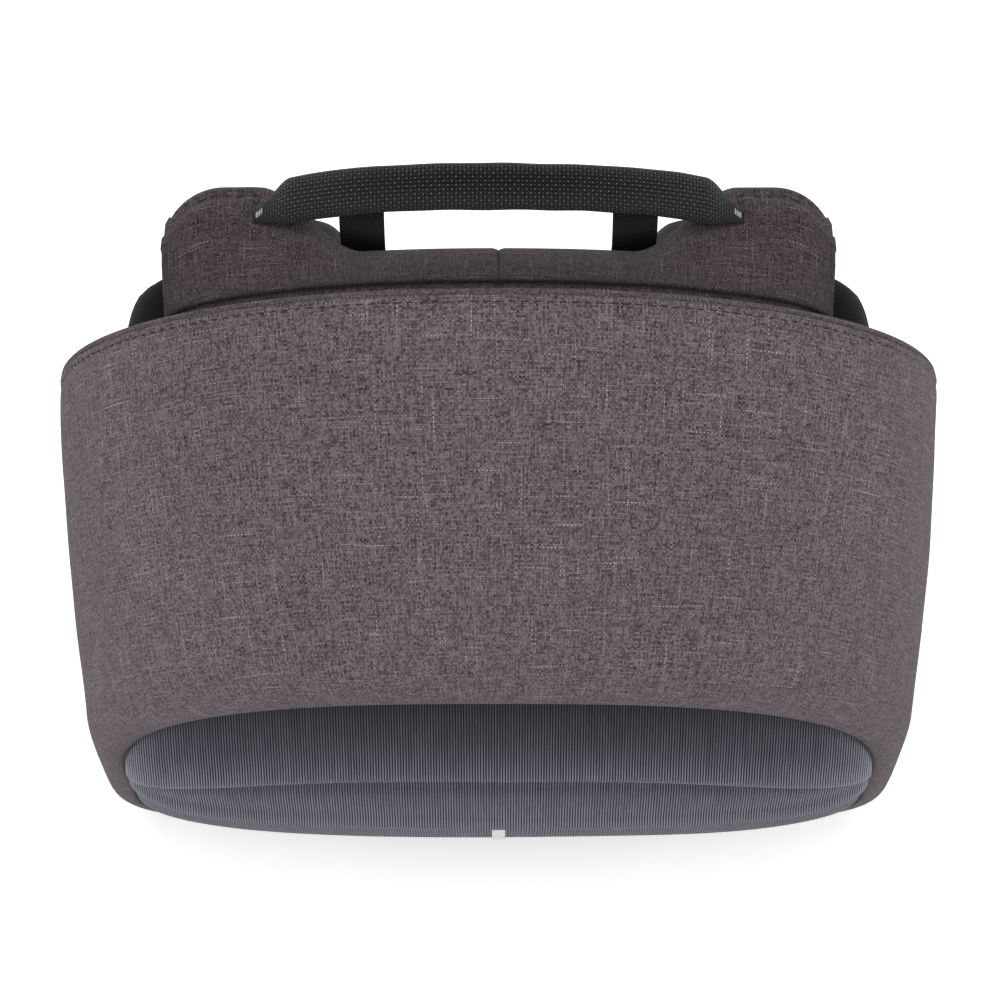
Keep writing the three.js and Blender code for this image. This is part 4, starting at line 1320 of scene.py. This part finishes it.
# Close zigzag of pale thread that tacks down each end of the handle
def make_bar_tacks():
    runs = []
    for side in (-1, 1):
        for k in range(TACK_ROWS):
            x = side * (HANDLE_HALF_SPAN - TACK_INSET - TACK_PITCH * k)
            line = handle_line(x)
            across = np.linspace(-1, 1, 5) * line["half_width"] * TACK_REACH
            top = line["up"] + line["half_thickness"] * TACK_HEIGHT + TACK_LIFT
            runs.append(level_run(place(x, across - line["back"], top), (0, 0, 1)))
    return make_stitches("handle_bar_tacks", runs, pale_thread,
                         length=0.0022, pitch=0.0021, radius=0.00024)


# Edge of a handle tab: a curl from under the handle to the yoke's back face, then straight down it
def handle_tab_edge(x):
    line = handle_line(x)
    under = line["up"] - line["half_thickness"] + CLEARANCE - HANDLE_TAB_THICKNESS / 2
    against = rim_curve(x) - yoke_reach(x) - 2 * CLEARANCE - HANDLE_TAB_THICKNESS / 2
    start = np.array([-line["back"] - HANDLE_TAB_CURL, under])
    corner = np.array([against, under - HANDLE_TAB_CURL])
    end = np.array([against, HANDLE_TAB_BEND])
    curl = [rolled_ring(start, corner, end, share) for share in np.linspace(0, 1, 20)]
    drop = [lerp(end, np.array([against, HANDLE_TAB_FOOT]), share) for share in np.linspace(0.2, 1, 5)]
    return np.array(curl + drop)


def make_handle_tab(name, side):
    inner = handle_tab_edge(HANDLE_TAB_INNER)
    outer = handle_tab_edge(HANDLE_TAB_OUTER)
    ahead = np.gradient(inner, axis=0)
    left = [place(side * HANDLE_TAB_INNER, depth, z) for depth, z in inner]
    right = [place(side * HANDLE_TAB_OUTER, depth, z) for depth, z in outer]
    through = [np.array([0.0, rise, forwards]) for forwards, rise in ahead]
    return make_band(f"handle_tab_tape_{name}", (left, right, through), HANDLE_TAB_CLOTH, tape,
                     [f"handle_tab_{name}"])


make_shell()
make_rim_stitches()
make_piping()
make_front_panel()
make_reflective_strip()
make_back_panel()
make_handle()
make_bar_tacks()
for name, side in (("left", -1), ("right", 1)):
    make_yoke(name, side)
    lining_start = STRAP_THICKNESS + 3 * CLEARANCE
    make_strap_pad(f"strap_cloth_{name}", side, 0, STRAP_THICKNESS, melange,
                   f"shoulder_strap_{name}", STRAP_SLACK)
    make_strap_pad(f"strap_mesh_{name}", side, lining_start, lining_start + LINING_THICKNESS, mesh_cloth,
                   f"strap_lining_{name}", LINING_SLACK)
    for edge_name, edge in (("inner", -1), ("outer", 1)):
        make_binding(f"strap_binding_{edge_name}_{name}", side, edge)
    make_strap_stitches(name, side)
    make_ladder_lock(name, side)
    make_strap_loop(name, side)
    make_webbing(name, side)
    make_corner_tab(name, side)
    make_handle_tab(name, side)


# Pale floor and soft studio light
FLOOR_HALF = 6.0
FLOOR_TONE = 0.92
FLOOR_GLOW = 0.55
WORLD_STRENGTH = 0.26
LIGHTS = table("name at target size power", [
    ("left_softbox", (-1.8, 0.1, 0.5), (0, 0, 0.2), (1.0, 0.8), 9),
    ("right_softbox", (1.8, 0.1, 0.5), (0, 0, 0.2), (1.0, 0.8), 9),
    ("front_softbox", (0, -1.9, 0.5), (0, 0, 0.1), (1.6, 0.6), 8),
    ("top_softbox", (0, 0.02, 2.4), (0, 0, 0.3), (0.8, 0.8), 42),
])


def make_floor():
    mesh = bpy.data.meshes.new("floor")
    corners = [(x * FLOOR_HALF, y * FLOOR_HALF, 0) for x, y in ((-1, -1), (1, -1), (1, 1), (-1, 1))]
    mesh.from_pydata(corners, [], [(0, 1, 2, 3)])
    floor = bpy.data.objects.new("floor", mesh)
    bpy.context.scene.collection.objects.link(floor)
    surface = Surface("pale_floor", roughness=0.9, specular=0.1)
    surface.paint((FLOOR_TONE, FLOOR_TONE, FLOOR_TONE, 1))
    surface.shader.inputs["Emission Color"].default_value = (1, 1, 1, 1)
    surface.shader.inputs["Emission Strength"].default_value = FLOOR_GLOW
    mesh.materials.append(surface.material)


def make_light(light):
    lamp = bpy.data.lights.new(light["name"], "AREA")
    lamp.energy = light["power"]
    lamp.shape = "RECTANGLE"
    lamp.size, lamp.size_y = light["size"]
    obj = bpy.data.objects.new(light["name"], lamp)
    obj.location = light["at"]
    obj.rotation_mode = "QUATERNION"
    obj.rotation_quaternion = (Vector(light["target"]) - Vector(light["at"])).to_track_quat("-Z", "Y")
    bpy.context.scene.collection.objects.link(obj)


def make_world():
    world = bpy.data.worlds.new("studio")
    world.use_nodes = True
    background = world.node_tree.nodes["Background"]
    background.inputs["Color"].default_value = (1, 1, 1, 1)
    background.inputs["Strength"].default_value = WORLD_STRENGTH
    bpy.context.scene.world = world


def make_camera():
    data = bpy.data.cameras.new("photo_camera")
    data.lens = CAMERA_LENS
    data.sensor_width = CAMERA_SENSOR
    data.clip_end = CAMERA_REACH
    camera = bpy.data.objects.new("photo_camera", data)
    camera.location = CAMERA_PLACE
    camera.rotation_mode = "QUATERNION"
    camera.rotation_quaternion = Vector(CAMERA_DIRECTION).to_track_quat("-Z", "Y")
    bpy.context.scene.collection.objects.link(camera)
    bpy.context.scene.camera = camera


make_floor()
make_world()
for light in LIGHTS:
    make_light(light)
make_camera()
bpy.context.scene.view_settings.view_transform = "Standard"
